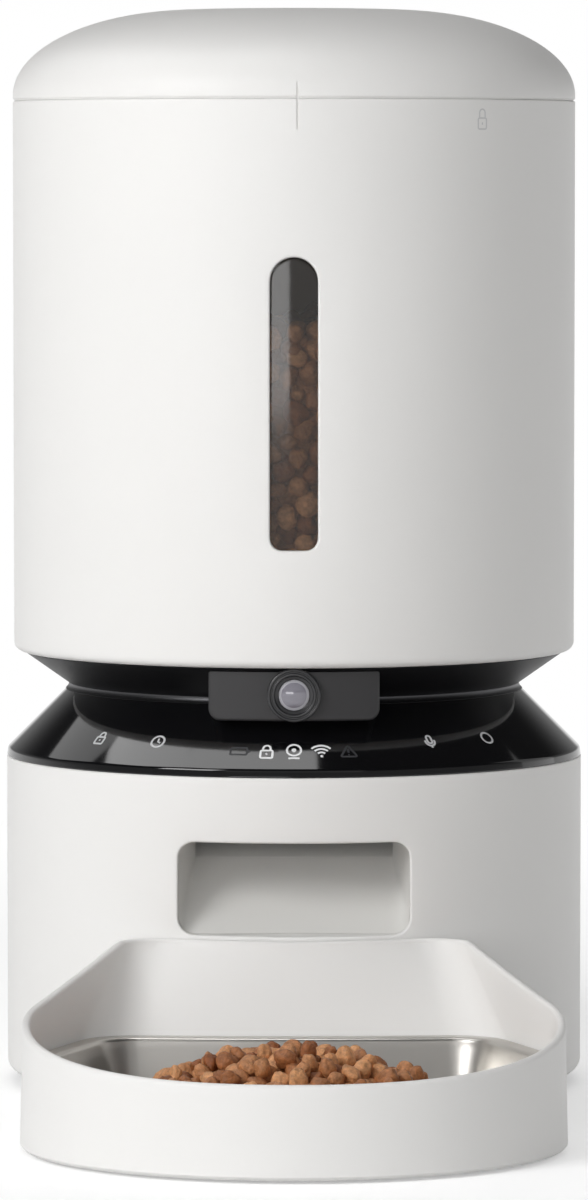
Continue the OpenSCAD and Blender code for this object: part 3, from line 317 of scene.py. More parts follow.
def resample(line, count):
    """Points spread along a line, closer where it turns."""
    marks = [0.0]
    for k in range(1, len(line)):
        step = math.dist(line[k - 1], line[k])
        turn = 0.0
        if k + 1 < len(line) and step > 1e-9:
            a = Vector(line[k]) - Vector(line[k - 1])
            b = Vector(line[k + 1]) - Vector(line[k])
            if b.length > 1e-9:
                turn = a.angle(b, 0.0)
        marks.append(marks[-1] + step + 3.0 * turn)
    out = []
    k = 1
    for i in range(count):
        want = marks[-1] * i / count
        while marks[k] < want:
            k += 1
        span = marks[k] - marks[k - 1]
        t = (want - marks[k - 1]) / span if span > 1e-12 else 0.0
        out.append(tuple(line[k - 1][j] + (line[k][j] - line[k - 1][j]) * t for j in (0, 1)))
    return out


def slot_outline(half, low, high, r_low, r_high, grow, counts):
    """Rounded upright slot, grown by a distance, from its lower left corner anticlockwise."""
    half = max(half + grow, 1e-4)
    low = low - grow
    high = high + grow
    r_low = min(max(r_low + grow, 1e-4), half)
    r_high = min(max(r_high + grow, 1e-4), half)
    steps = 10
    lines = []
    corners = ((-1, low, r_low, 180), (1, low, r_low, 270), (1, high, r_high, 0), (-1, high, r_high, 90))
    arcs = []
    for side, z, r, start in corners:
        cz = z + r if z == low else z - r
        arcs.append([
            (side * (half - r) + r * math.cos(math.radians(start + 90 * s / (2 * steps))),
             cz + r * math.sin(math.radians(start + 90 * s / (2 * steps)))) for s in range(2 * steps + 1)])
    for k in range(4):
        lines.append(arcs[k][steps:] + arcs[(k + 1) % 4][:steps + 1])
    out = []
    for line, count in zip(lines, counts):
        out.extend(resample(line, count))
    return out


def on_wall(u, z, radius, middle):
    """Point of an upright round wall at a sideways distance from a column, looked at square on."""
    return upright(radius, z, TURN * middle / COLUMNS + math.asin(max(-1.0, min(1.0, u / radius))))


def holed_wall(skin, r_out, r_in, levels, holes):
    """A round wall between two radii on a grid of columns and levels, with slots through it.

    Each hole is (middle column, columns to each side, first level, last level, slot values, edge radius).
    """
    taken = set()
    for middle, reach, first, last, slot, edge in holes:
        for i in range(middle - reach, middle + reach):
            for j in range(first, last):
                taken.add((i % COLUMNS, j))
    for radius in (r_out, r_in):
        for j in range(len(levels) - 1):
            for i in range(COLUMNS):
                if (i, j) in taken:
                    continue
                a, b = TURN * i / COLUMNS, TURN * (i + 1) / COLUMNS
                skin.patch([[upright(radius, levels[j], a), upright(radius, levels[j], b)],
                            [upright(radius, levels[j + 1], a), upright(radius, levels[j + 1], b)]])
    for middle, reach, first, last, slot, edge in holes:
        counts = (2 * reach, last - first, 2 * reach, last - first)

        def frame_ring(radius):
            columns = [TURN * (middle + i) / COLUMNS for i in range(-reach, reach + 1)]
            rows = levels[first:last + 1]
            ring = [upright(radius, rows[0], a) for a in columns[:-1]]
            ring += [upright(radius, z, columns[-1]) for z in rows[:-1]]
            ring += [upright(radius, rows[-1], a) for a in columns[:0:-1]]
            ring += [upright(radius, z, columns[0]) for z in rows[:0:-1]]
            return ring

        rings = [frame_ring(r_out)]
        for s in range(6):
            a = math.pi / 2 * s / 5
            shape = slot_outline(*slot, edge * (1 - math.sin(a)), counts)
            depth = edge * (1 - math.cos(a))
            rings.append([on_wall(u, z, r_out - depth, middle) for u, z in shape])
        shape = slot_outline(*slot, 0.0, counts)
        rings.append([on_wall(u, z, r_in, middle) for u, z in shape])
        rings.append(frame_ring(r_in))
        skin.patch(rings, True)


def arc_block(skin, r0, r1, z0, z1, first, last):
    """A block bent round the axis between two angles in degrees."""
    steps = max(2, int(abs(last - first) / 1.5))
    rows = []
    for s in range(steps + 1):
        a = math.radians(first + (last - first) * s / steps)
        rows.append([upright(r, z, a) for r, z in ((r0, z0), (r1, z0), (r1, z1), (r0, z1))])
    skin.loft(rows)


def prism(skin, outline, place, low, high):
    """A closed block over an outline, from one depth to another."""
    rows = [[place(u, v, h) for u, v in outline] for h in (low, high)]
    skin.loft(rows)


def stroke_line(skin, line, place, width, rise, looped=False):
    """A closed ribbon of ink along a line, a little proud of its surface and a little sunk in it."""
    rows = []
    count = len(line)
    for k, (u, v) in enumerate(line):
        back = line[k - 1] if looped or k else line[k]
        on = line[(k + 1) % count] if looped or k + 1 < count else line[k]
        du, dv = on[0] - back[0], on[1] - back[1]
        size = math.hypot(du, dv) or 1.0
        nu, nv = -dv / size * width / 2, du / size * width / 2
        rows.append([place(u + nu, v + nv, -rise), place(u + nu, v + nv, rise),
                     place(u - nu, v - nv, rise), place(u - nu, v - nv, -rise)])
    if looped:
        rows.append(rows[0])
    else:
        skin.cap(rows[0])
        skin.cap(rows[-1])
    skin.patch(rows, True)


def arc_line(x, y, r, first, last, steps=24):
    """Points of an arc, its angles in degrees."""
    return [(x + r * math.cos(math.radians(first + (last - first) * s / steps)),
             y + r * math.sin(math.radians(first + (last - first) * s / steps))) for s in range(steps + 1)]


# Finishes


def per_mm(size):
    """Texture scale for a pattern of a size in millimetres on coordinates in metres."""
    return 1.0 / (size * MM)


def add(tree, kind, fields=None, inputs=None):
    """Add a node, set its fields, and set its inputs or link them where a socket is given."""
    node = tree.nodes.new(kind)
    for field, value in (fields or {}).items():
        setattr(node, field, value)
    for socket, value in (inputs or {}).items():
        if isinstance(value, bpy.types.NodeSocket):
            tree.links.new(value, node.inputs[socket])
        else:
            node.inputs[socket].default_value = value
    return node


def blank(name):
    """A new material with an empty node tree."""
    made = bpy.data.materials.new(name)
    made.use_nodes = True
    made.node_tree.nodes.clear()
    return made, made.node_tree


def shade(tone, factor):
    """A linear colour made darker or paler, with alpha."""
    return tuple(min(1.0, c * factor) for c in tone[:3]) + (1.0,)


def moulded(name, tone, roughness, grain, depth, mottle=0.03, sockets=None):
    """Moulded plastic or rubber: the tool's grain as bump, slight unevenness of tone and gloss."""
    made, tree = blank(name)
    at = add(tree, "ShaderNodeTexCoord").outputs["Object"]
    fine = add(tree, "ShaderNodeTexNoise", None, {"Vector": at, "Scale": per_mm(grain), "Detail": 2.0})
    broad = add(tree, "ShaderNodeTexNoise", None, {"Vector": at, "Scale": per_mm(42.0), "Detail": 3.0})
    tint = add(tree, "ShaderNodeMix", {"data_type": "RGBA"},
               {0: broad.outputs["Fac"], 6: shade(tone, 1 - mottle), 7: shade(tone, 1 + mottle)})
    gloss = add(tree, "ShaderNodeMapRange", None,
                {"Value": broad.outputs["Fac"], "To Min": roughness * 0.88, "To Max": roughness * 1.12})
    bump = add(tree, "ShaderNodeBump", None,
               {"Height": fine.outputs["Fac"], "Strength": 0.35, "Distance": depth * MM})
    values = {"Base Color": tint.outputs[2], "Roughness": gloss.outputs["Result"],
              "Normal": bump.outputs["Normal"]}
    values.update(sockets or {})
    shader = add(tree, "ShaderNodeBsdfPrincipled", None, values)
    add(tree, "ShaderNodeOutputMaterial", None, {"Surface": shader.outputs["BSDF"]})
    return made


def metal(name, tone, roughness, grain, stretch, depth, sockets=None):
    """Worked metal: tool lines as stretched noise in the gloss and the bump."""
    made, tree = blank(name)
    at = add(tree, "ShaderNodeTexCoord").outputs["Object"]
    long = add(tree, "ShaderNodeMapping", None, {"Vector": at, "Scale": stretch})
    lines = add(tree, "ShaderNodeTexNoise", None,
                {"Vector": long.outputs["Vector"], "Scale": per_mm(grain), "Detail": 4.0,
                 "Roughness": 0.65})
    broad = add(tree, "ShaderNodeTexNoise", None, {"Vector": at, "Scale": per_mm(30.0), "Detail": 2.0})
    tint = add(tree, "ShaderNodeMix", {"data_type": "RGBA"},
               {0: broad.outputs["Fac"], 6: shade(tone, 0.93), 7: shade(tone, 1.05)})
    gloss = add(tree, "ShaderNodeMapRange", None,
                {"Value": lines.outputs["Fac"], "To Min": roughness * 0.7, "To Max": roughness * 1.3})
    bump = add(tree, "ShaderNodeBump", None,
               {"Height": lines.outputs["Fac"], "Strength": 0.3, "Distance": depth * MM})
    values = {"Base Color": tint.outputs[2], "Metallic": 1.0, "Roughness": gloss.outputs["Result"],
              "Normal": bump.outputs["Normal"]}
    values.update(sockets or {})
    shader = add(tree, "ShaderNodeBsdfPrincipled", None, values)
    add(tree, "ShaderNodeOutputMaterial", None, {"Surface": shader.outputs["BSDF"]})
    return made


def tinted_sheet(name, tone, alpha):
    """Clear moulded plastic with a tint: a little haze along its flow lines and a hard gloss."""
    made, tree = blank(name)
    at = add(tree, "ShaderNodeTexCoord").outputs["Object"]
    flow = add(tree, "ShaderNodeMapping", None, {"Vector": at, "Scale": (1.0, 1.0, 0.25)})
    haze = add(tree, "ShaderNodeTexNoise", None,
               {"Vector": flow.outputs["Vector"], "Scale": per_mm(9.0), "Detail": 3.0})
    tint = add(tree, "ShaderNodeMix", {"data_type": "RGBA"},
               {0: haze.outputs["Fac"], 6: shade(tone, 0.92), 7: shade(tone, 1.06)})
    gloss = add(tree, "ShaderNodeMapRange", None,
                {"Value": haze.outputs["Fac"], "To Min": 0.05, "To Max": 0.1})
    shader = add(tree, "ShaderNodeBsdfPrincipled", None,
                 {"Base Color": tint.outputs[2], "Roughness": gloss.outputs["Result"], "IOR": 1.58,
                  "Alpha": alpha, "Coat Weight": 0.4, "Coat Roughness": 0.04})
    add(tree, "ShaderNodeOutputMaterial", None, {"Surface": shader.outputs["BSDF"]})
    return made


def baked_food(name, dark, light):
    """Extruded and oven-dried food: porous crust, each piece baked to its own shade."""
    made, tree = blank(name)
    at = add(tree, "ShaderNodeTexCoord").outputs["Object"]
    one = add(tree, "ShaderNodeNewGeometry").outputs["Random Per Island"]
    crust = add(tree, "ShaderNodeTexNoise", None,
                {"Vector": at, "Scale": per_mm(1.8), "Detail": 6.0, "Roughness": 0.65})
    pores = add(tree, "ShaderNodeTexVoronoi", {"feature": "F1"}, {"Vector": at, "Scale": per_mm(1.1)})
    piece = add(tree, "ShaderNodeMix", {"data_type": "RGBA"},
                {0: one, 6: shade(dark, 1.0), 7: shade(light, 1.0)})
    scorch = add(tree, "ShaderNodeMapRange", None,
                 {"Value": crust.outputs["Fac"], "From Min": 0.3, "From Max": 0.7,
                  "To Min": 0.52, "To Max": 1.22})
    tint = add(tree, "ShaderNodeMix", {"data_type": "RGBA", "blend_type": "MULTIPLY"},
               {0: 1.0, 6: piece.outputs[2], 7: scorch.outputs["Result"]})
    height = add(tree, "ShaderNodeMath", {"operation": "MULTIPLY_ADD"},
                 {0: pores.outputs["Distance"], 1: 0.6, 2: crust.outputs["Fac"]})
    bump = add(tree, "ShaderNodeBump", None,
               {"Height": height.outputs["Value"], "Strength": 0.8, "Distance": 0.5 * MM})
    shader = add(tree, "ShaderNodeBsdfPrincipled", None,
                 {"Base Color": tint.outputs[2], "Roughness": 0.58, "Specular IOR Level": 0.45,
                  "Normal": bump.outputs["Normal"]})
    add(tree, "ShaderNodeOutputMaterial", None, {"Surface": shader.outputs["BSDF"]})
    return made


def printed_board(name, tone):
    """Glass-fibre board under solder mask: copper tracks show as slightly paler lines and steps."""
    made, tree = blank(name)
    at = add(tree, "ShaderNodeTexCoord").outputs["Object"]
    tracks = add(tree, "ShaderNodeTexBrick", {"offset": 0.5},
                 {"Vector": at, "Scale": per_mm(6.0), "Color1": shade(tone, 1.0),
                  "Color2": shade(tone, 1.2), "Mortar": shade(tone, 1.9), "Mortar Size": 0.06})
    bump = add(tree, "ShaderNodeBump", None,
               {"Height": tracks.outputs["Fac"], "Strength": 0.4, "Distance": 0.05 * MM})
    shader = add(tree, "ShaderNodeBsdfPrincipled", None,
                 {"Base Color": tracks.outputs["Color"], "Roughness": 0.35,
                  "Normal": bump.outputs["Normal"]})
    add(tree, "ShaderNodeOutputMaterial", None, {"Surface": shader.outputs["BSDF"]})
    return made


FINISHES = {}


def finish(key):
    """The material for a slot of the record, or for a finish of this file, made on first use."""
    if key in FINISHES:
        return FINISHES[key]
    hue = colours()
    makers = {
        # Satin ABS: soft white with a broad, blurred highlight; its fine grain is drawn coarser to show
        "white_shell": lambda: moulded(
            "ABS_moulded_satin_white", hue.white, 0.46, 0.7, 0.012, 0.012, {"Specular IOR Level": 0.4}),
        # Unpolished inside faces of ABS: the same white, flatter
        "inner_white": lambda: moulded("ABS_moulded_matt_white", hue.inner, 0.5, 0.8, 0.02, 0.02),
        # Glass-filled ABS: dull grey with visible grain
        "grey_plastic": lambda: moulded("ABS_moulded_grey", hue.grey, 0.5, 0.9, 0.03),
        # Acrylic from a polished tool: black with mirror-like highlights
        "gloss_black": lambda: moulded(
            "PMMA_polished_black", hue.gloss, 0.07, 1.6, 0.0015, 0.2, {"IOR": 1.49}),
        # Textured polycarbonate blend: black with a wide grey sheen
        "satin_black": lambda: moulded(
            "PC_ABS_moulded_black", hue.satin, 0.38, 0.8, 0.015, 0.05, {"Specular IOR Level": 0.16}),
        # Metallised cove at the waist's foot: a thin grey line that brightens towards the light
        "neck_trim": lambda: moulded(
            "ABS_metallised_trim_grey", hue.trim, 0.4, 0.6, 0.006, 0.03, {"Metallic": 1.0}),
        # Soft-touch lacquer: dark grey with a wide, even sheen
        "camera_grey": lambda: moulded(
            "ABS_lacquered_dark_grey", hue.housing, 0.55, 0.6, 0.008, 0.03, {"Specular IOR Level": 0.6}),
        # Turned-looking moulded ring: black with a narrow highlight on each step
        "bezel_black": lambda: moulded("PC_polished_bezel_black", hue.bezel, 0.2, 1.0, 0.002, 0.05),
        # Coated lens dome: the pale lilac sheen of its coating is painted into its colour, with sharp
        # glints from a clear coat
        "lens_glass": lambda: moulded(
            "glass_lens_painted_sheen", hue.lens, 0.12, 3.0, 0.001, 0.05,
            {"Coat Weight": 1.0, "Coat Roughness": 0.03}),
        # Rim of the lens: a paler, matt ring, a painted highlight along its edge
        "lens_rim_highlight": lambda: moulded("glass_rim_painted_highlight", hue.lens_rim_highlight, 0.4, 1.2, 0.004, 0.05),
        # Smoked polycarbonate: brown-grey, see-through, with hard reflections
        "smoked_window": lambda: tinted_sheet("PC_smoked_clear", hue.smoke, 0.56),
        # Unseen faces of the same window: they tint no second time
        "window_inside": lambda: tinted_sheet("PC_smoked_clear_back", hue.smoke, 0.03),
        # Screen-printed ink: soft white where a lamp is lit, grey on the keys, nearly black where none is
        "ink": lambda: moulded("ink_screen_printed_white", hue.ink, 0.45, 0.4, 0.004),
        "key_ink": lambda: moulded("ink_screen_printed_grey", hue.key_ink, 0.45, 0.4, 0.004),
        "dim_ink": lambda: moulded("ink_screen_printed_dim", hue.dim_ink, 0.45, 0.4, 0.004),
        # Pad-printed ink: a faint, flat grey
        "mark_ink": lambda: moulded("ink_pad_printed_grey", hue.mark_ink, 0.5, 0.4, 0.004),
        # Thermoplastic rubber: charcoal, matt, slightly dusty
        "foot_rubber": lambda: moulded("TPE_moulded_charcoal", linear("#2B2B2D"), 0.75, 0.6, 0.03, 0.12),
        # Silicone: milky for the seal and grey for the wipers, with a soft sheen
        "seal_rubber": lambda: moulded("silicone_moulded_milky", linear("#C9CBCC"), 0.42, 1.2, 0.01, 0.03),
        "wiper_rubber": lambda: moulded("silicone_moulded_grey", linear("#7D8488"), 0.45, 1.0, 0.01, 0.05),
        # Stainless steel with a satin brushing that runs round the bowl; lines are drawn coarser to show
        "bowl_steel": lambda: metal(
            "stainless_steel_brushed", hue.steel, 0.33, 0.55, (0.04, 0.04, 1.0), 0.004,
            {"Anisotropic": 0.4}),
        # Zinc-plated steel: bright, slightly blue, with turning marks
        "bright_steel": lambda: metal(
            "steel_zinc_plated", linear("#BFC2C6"), 0.24, 0.8, (1.0, 1.0, 0.2), 0.006),
        # Turned brass, a bright warm metal with tool marks, and sintered bronze, duller and finely pored
        "brass": lambda: metal("brass_turned", linear("#C9A24E"), 0.24, 0.8, (1.0, 1.0, 0.2), 0.006),
        "bronze": lambda: metal("bronze_sintered", linear("#9A6B3A"), 0.45, 0.5, (1.0, 1.0, 1.0), 0.02),
        # Acetal gears: ivory, waxy sheen
        "gear_nylon": lambda: moulded(
            "POM_moulded_ivory", linear("#E6E0CE"), 0.36, 0.9, 0.01, 0.03, {"Subsurface Weight": 0.05}),
        # Acetal rotor: cool grey, waxy sheen
        "rotor_plastic": lambda: moulded("POM_moulded_grey", linear("#A9AEB2"), 0.4, 0.9, 0.015, 0.03),
        # Glass-fibre board under solder mask: deep green with paler tracks
        "board_green": lambda: printed_board("FR4_solder_mask_green", linear("#1E5A38")),
        # Epoxy and black moulded parts of the electronics: charcoal, matt
        "dark_parts": lambda: moulded("epoxy_moulded_black", linear("#26272A"), 0.5, 0.7, 0.015, 0.1),
        # Diffusing polycarbonate over the lamps: milky white
        "lamp_white": lambda: moulded("PC_diffusing_white", linear("#F3F4F2"), 0.3, 1.4, 0.006, 0.02),
        # Shrink film over the cells: green with a soft plastic gloss
        "cell_wrap": lambda: moulded("PVC_shrink_film_green", linear("#2F6B4A"), 0.28, 6.0, 0.05, 0.05),
        # Paper bag of drying beads: off-white with a crinkled surface
        "desiccant": lambda: moulded("paper_bag_crinkled", linear("#DAD4C6"), 0.8, 4.0, 0.5, 0.05),
        # Kibble: tan to brown crust with pores and scorched spots
        "food": lambda: baked_food("kibble_oven_dried", hue.food_dark, hue.food_light),
    }
    if key not in makers:
        raise KeyError("no finish for " + key)
    FINISHES[key] = makers[key]()
    return FINISHES[key]


# Tray and bowl outline, as width and distance in front of the axis; level 0 is the rim and 1 the ledge

TRAY_A, TRAY_B, TRAY_MID, TAPER_B = 86.0, 76.0, 170.0, 58.0
BACK_D, BACK_R = (98.5, 114.6), (98.5, 585.0)
CORNER_R, CORNER_X = (16.0, 24.0), (44.0, 50.5)
FRONT_H, SIDE_H, BACK_H = 30.5, 41.0, 58.0
LEDGE_Z = 28.2
BOWL_EDGE = 4.6
BOWL_NECK = 9.6


def side_point(a):
    """Point of the tray's front and side curve whose outward direction is given in radians."""
    b = TRAY_B if a > 0 else TAPER_B
    h = math.hypot(TRAY_A * math.cos(a), b * math.sin(a))
    return Vector((TRAY_A ** 2 * math.cos(a) / h, TRAY_MID + b * b * math.sin(a) / h))


def corner_middle(level):
    """Middle of the round back corner."""
    reach = BACK_R[level] + CORNER_R[level]
    rise = math.sqrt(reach ** 2 - CORNER_X[level] ** 2)
    return Vector((CORNER_X[level], BACK_D[level] - BACK_R[level] + rise))


def side_turn(level):
    """Direction in which one straight line touches both the side curve and the corner."""
    low, high = math.radians(-80), 0.0
    for _ in range(40):
        mid = (low + high) / 2
        away = side_point(mid) - corner_middle(level)
        lead = away.dot(Vector((math.cos(mid), math.sin(mid)))) - CORNER_R[level]
        low, high = (low, mid) if lead > 0 else (mid, high)
    return (low + high) / 2


def tray_outline(inset, level):
    """Whole outline at a level, inset from the outside, anticlockwise from the front."""
    edge_steps, line_steps, corner_steps, back_steps = 44, 8, 16, 16
    turn = side_turn(level)
    swing = math.asin(CORNER_X[level] / (BACK_R[level] + CORNER_R[level]))
    last = -math.pi / 2 - swing
    middle = corner_middle(level)
    half = []
    for k in range(edge_steps + 1):
        a = math.pi / 2 + (turn - math.pi / 2) * k / edge_steps
        half.append(side_point(a) - inset * Vector((math.cos(a), math.sin(a))))
    touch = middle + (CORNER_R[level] - inset) * Vector((math.cos(turn), math.sin(turn)))
    for k in range(1, line_steps):
        half.append(half[edge_steps].lerp(touch, k / line_steps))
    for k in range(corner_steps + 1):
        a = turn + (last - turn) * k / corner_steps
        half.append(middle + (CORNER_R[level] - inset) * Vector((math.cos(a), math.sin(a))))
    for k in range(1, back_steps + 1):
        a = swing * (1 - k / back_steps)
        reach = BACK_R[level] + inset
        half.append(Vector((reach * math.sin(a), BACK_D[level] - BACK_R[level] + reach * math.cos(a))))
    mirrored = [Vector((-p.x, p.y)) for p in half[-2:0:-1]]
    return half + mirrored


def rim_height(d):
    """Height of the tray's rim at a distance in front of the axis."""
    front = TRAY_MID + TRAY_B
    back = corner_middle(0).y - CORNER_R[0] / 2
    power = math.log((SIDE_H - FRONT_H) / (BACK_H - FRONT_H)) / math.log(TRAY_B / (front - back))
    return FRONT_H + (BACK_H - FRONT_H) * min(1.0, max(0.0, (front - d) / (front - back))) ** power


def ring_at(inset, level, z):
    """Outline of the tray at a height."""
    return [(p.x, -p.y, z) for p in tray_outline(inset, level)]


def blend_rings(a, b, count):
    """Rings evenly between two rings, without the two."""
    out = []
    for k in range(1, count):
        t = k / count
        out.append([tuple(p[j] + (q[j] - p[j]) * t for j in range(3)) for p, q in zip(a, b)])
    return out


def in_outline(outline, x, y):
    """True where a point is inside a closed outline."""
    inside = False
    for k in range(len(outline)):
        ax, ay = outline[k - 1]
        bx, by = outline[k]
        if (ay > y) != (by > y) and x < ax + (bx - ax) * (y - ay) / (by - ay):
            inside = not inside
    return inside


# Food


def rest_height(heap, x, y, r, floor):
    """Height at which a piece comes to rest; flat and lumpy pieces nest closer than balls."""
    squat, nest = 0.8, 0.9
    z = floor + r * squat
    for a, b, c, s in heap:
        gap = (x - a) ** 2 + (y - b) ** 2
        reach = (r + s) * nest
        if gap < reach * reach:
            z = max(z, c + math.sqrt(reach * reach - gap))
    return z


def pour(dice, count, width, draw, floor, inside, slides, ceiling=None):
    """Drop pieces one by one; each slides to a lower place, and none stays above the heap's outline."""
    heap = []
    for _ in range(count):
        r = width / 2 * dice.uniform(0.86, 1.12)
        x, y = draw()
        while not inside(x, y, r):
            x, y = draw()
        z = rest_height(heap, x, y, r, floor)
        for _ in range(slides):
            a = dice.uniform(0, TURN)
            u, v = x + 0.6 * r * math.cos(a), y + 0.6 * r * math.sin(a)
            if not inside(u, v, r):
                continue
            low = rest_height(heap, u, v, r, floor)
            if low < z:
                x, y, z = u, v, low
        if ceiling is None or z + 0.8 * r < ceiling(x, y):
            heap.append((x, y, z, r))
    return heap


def food_piece(name, dice, heap, detail):
    """One object of lumpy pieces of food, one at each place of a heap."""
    ball = bmesh.new()
    bmesh.ops.create_icosphere(ball, subdivisions=detail, radius=1.0)
    ball.verts.index_update()
    shape = [v.co.copy() for v in ball.verts]
    tris = [tuple(v.index for v in f.verts) for f in ball.faces]
    ball.free()
    skin = Skin()
    for x, y, z, r in heap:
        spin = Euler([dice.uniform(0, TURN) for _ in range(3)]).to_matrix()
        scale = Vector((dice.uniform(1.0, 1.26), dice.uniform(0.9, 1.06), dice.uniform(0.7, 0.92))) * r
        seed = Vector([dice.uniform(-90, 90) for _ in range(3)])
        start = len(skin.points)
        for v in shape:
            swell = 1 + 0.3 * noise.noise(v * 1.1 + seed) + 0.11 * noise.noise(v * 3.1 + seed)
            p = spin @ Vector((v.x * scale.x, v.y * scale.y, v.z * scale.z)) * swell
            skin.points.append((x + p.x, y + p.y, z + p.z))
        skin.faces.extend(tuple(start + i for i in f) for f in tris)
        skin.marks.extend([0] * len(tris))
    return skin.piece(name, 0.0005)


class FeederOperator(bpy.types.Operator):
    """Common base of the feeder's operators."""

    bl_options = {"REGISTER", "UNDO"}


class FEEDER_OT_lid(FeederOperator):
    """Make the domed lid with its index line"""

    bl_idname = "feeder.lid"
    bl_label = "Lid"

    def execute(self, context):
        """Turn the dome's profile and cut the index line into its front."""
        radius = sizes()["hopper_radius"]
        edge, low, spring, crown = 0.5, SEAM + 0.5, 333.9, 35.0
        steps = 48

        def dome(inset):
            """The dome's profile from where it springs to its flat crown, set in by a thickness."""
            turns = [math.pi / 2 * k / steps for k in range(steps + 1)]
            return [(crown + (radius - inset - crown) * math.cos(t),
                     spring + (TOP - inset - spring) * math.sin(t)) for t in turns]

        # A lip behind the rounded edge keeps the seam a shallow groove, and stays clear of the rim below
        lip_r, lip_z = radius - 0.64, SEAM + 0.1
        profile = [(radius - WALL, lip_z), (lip_r, lip_z)]
        profile += arc_line(radius - edge, low + edge, edge, -90, 0, 4)
        profile += dome(0) + [(crown * k / 4, TOP) for k in (3, 2, 1, 0)]
        profile += [(crown * k / 4, TOP - WALL) for k in (0, 1, 2, 3)] + dome(WALL)[::-1]
        skin = Skin()
        lathe(skin, profile)
        lid = skin.piece("Lid_dome")
        cut(lid, index_tool(radius))
        finish_piece(lid, "lid", [finish("white_shell")], ["lid_cap"])
        return {"FINISHED"}


def index_tool(radius):
    """Tool for the upright index line across the seam of lid and hopper."""
    tool = Skin()
    left, right = 0.78, 1.62
    low, high, depth = 322.0, 337.6, 0.6
    prism(tool, [(left, low), (right, low), (right, high), (left, high)],
          lambda u, v, h: (u, -h, v), radius - depth, radius + 2.0)
    return tool.mesh("tool")


class FEEDER_OT_hopper(FeederOperator):
    """Make the white hopper with its window opening, tabs, index line and printed mark"""

    bl_idname = "feeder.hopper"
    bl_label = "Hopper"

    def execute(self, context):
        """Build the holed wall, its floor, rim and bayonet tabs, and print the mark."""
        s = sizes()
        radius = s["hopper_radius"]
        inner = radius - WALL
        edge = s["hopper_edge"]
        half = s["window_width"] / 2
        low, high = s["window_low"], s["window_high"]
        rows, margin = 44, 4.0
        levels = [HOPPER + edge, 164.0]
        levels += [low - margin + (high - low + 2 * margin) * k / rows for k in range(rows + 1)]
        levels += [300.0, 318.0, SEAM - 1.0]
        slot = (half, low, high, WINDOW_CORNER, half)
        skin = Skin()
        holed_wall(skin, radius, inner, levels, [(0, 8, 2, 2 + rows, slot, s["hole_edge"])])
        floor_in = 71.0
        foot = [(inner, levels[0]), (inner, HOPPER + WALL), (floor_in, HOPPER + WALL), (floor_in, HOPPER)]
        foot += arc_line(radius - edge, HOPPER + edge, edge, -90, 0, 8)
        lathe(skin, foot, closed=False)
        soft, bevel = 0.5, 0.3
        rim = [(radius, levels[-1])] + arc_line(radius - soft, SEAM - soft, soft, 0, 90, 4)
        rim += [(inner + bevel, SEAM), (inner, SEAM - bevel), (inner, levels[-1])]
        lathe(skin, rim, closed=False)
        tab_in, tab_out = inner - 2.4, inner + 0.6
        stop_low, tab_low, tab_high = 317.4, 321.0, 324.0
        for k in range(4):
            start = 90 * k + 90
            arc_block(skin, tab_in, tab_out, tab_low, tab_high, start + 30, start + 60)
            arc_block(skin, tab_in, tab_out, stop_low, tab_low, start + 56, start + 60)
        hopper = skin.piece("Hopper_shell")
        cut(hopper, index_tool(radius))
        finish_piece(hopper, "base", [finish("white_shell")], ["hopper_shell"])

        mark = Skin()
        column, middle = math.radians(40.5), 325.6
        line, proud = 0.5, 0.03

        def place(u, v, h):
            return upright(radius + h, middle + v, column + u / radius)

        side, bottom, top, bow = 1.8, -3.4, 0.2, 1.2
        stroke_line(mark, rounded_box(-side, bottom, side, top, 0.6), place, line, proud, True)
        shackle = [(bow, top)] + arc_line(0, 1.9, bow, 0, 180, 14) + [(-bow, top)]
        stroke_line(mark, shackle, place, line, proud)
        stroke_line(mark, [(0, -1.2), (0, -2.0)], place, line, proud)
        printed = mark.piece("Hopper_padlock_mark")
        finish_piece(printed, "base", [finish("mark_ink")])
        return {"FINISHED"}


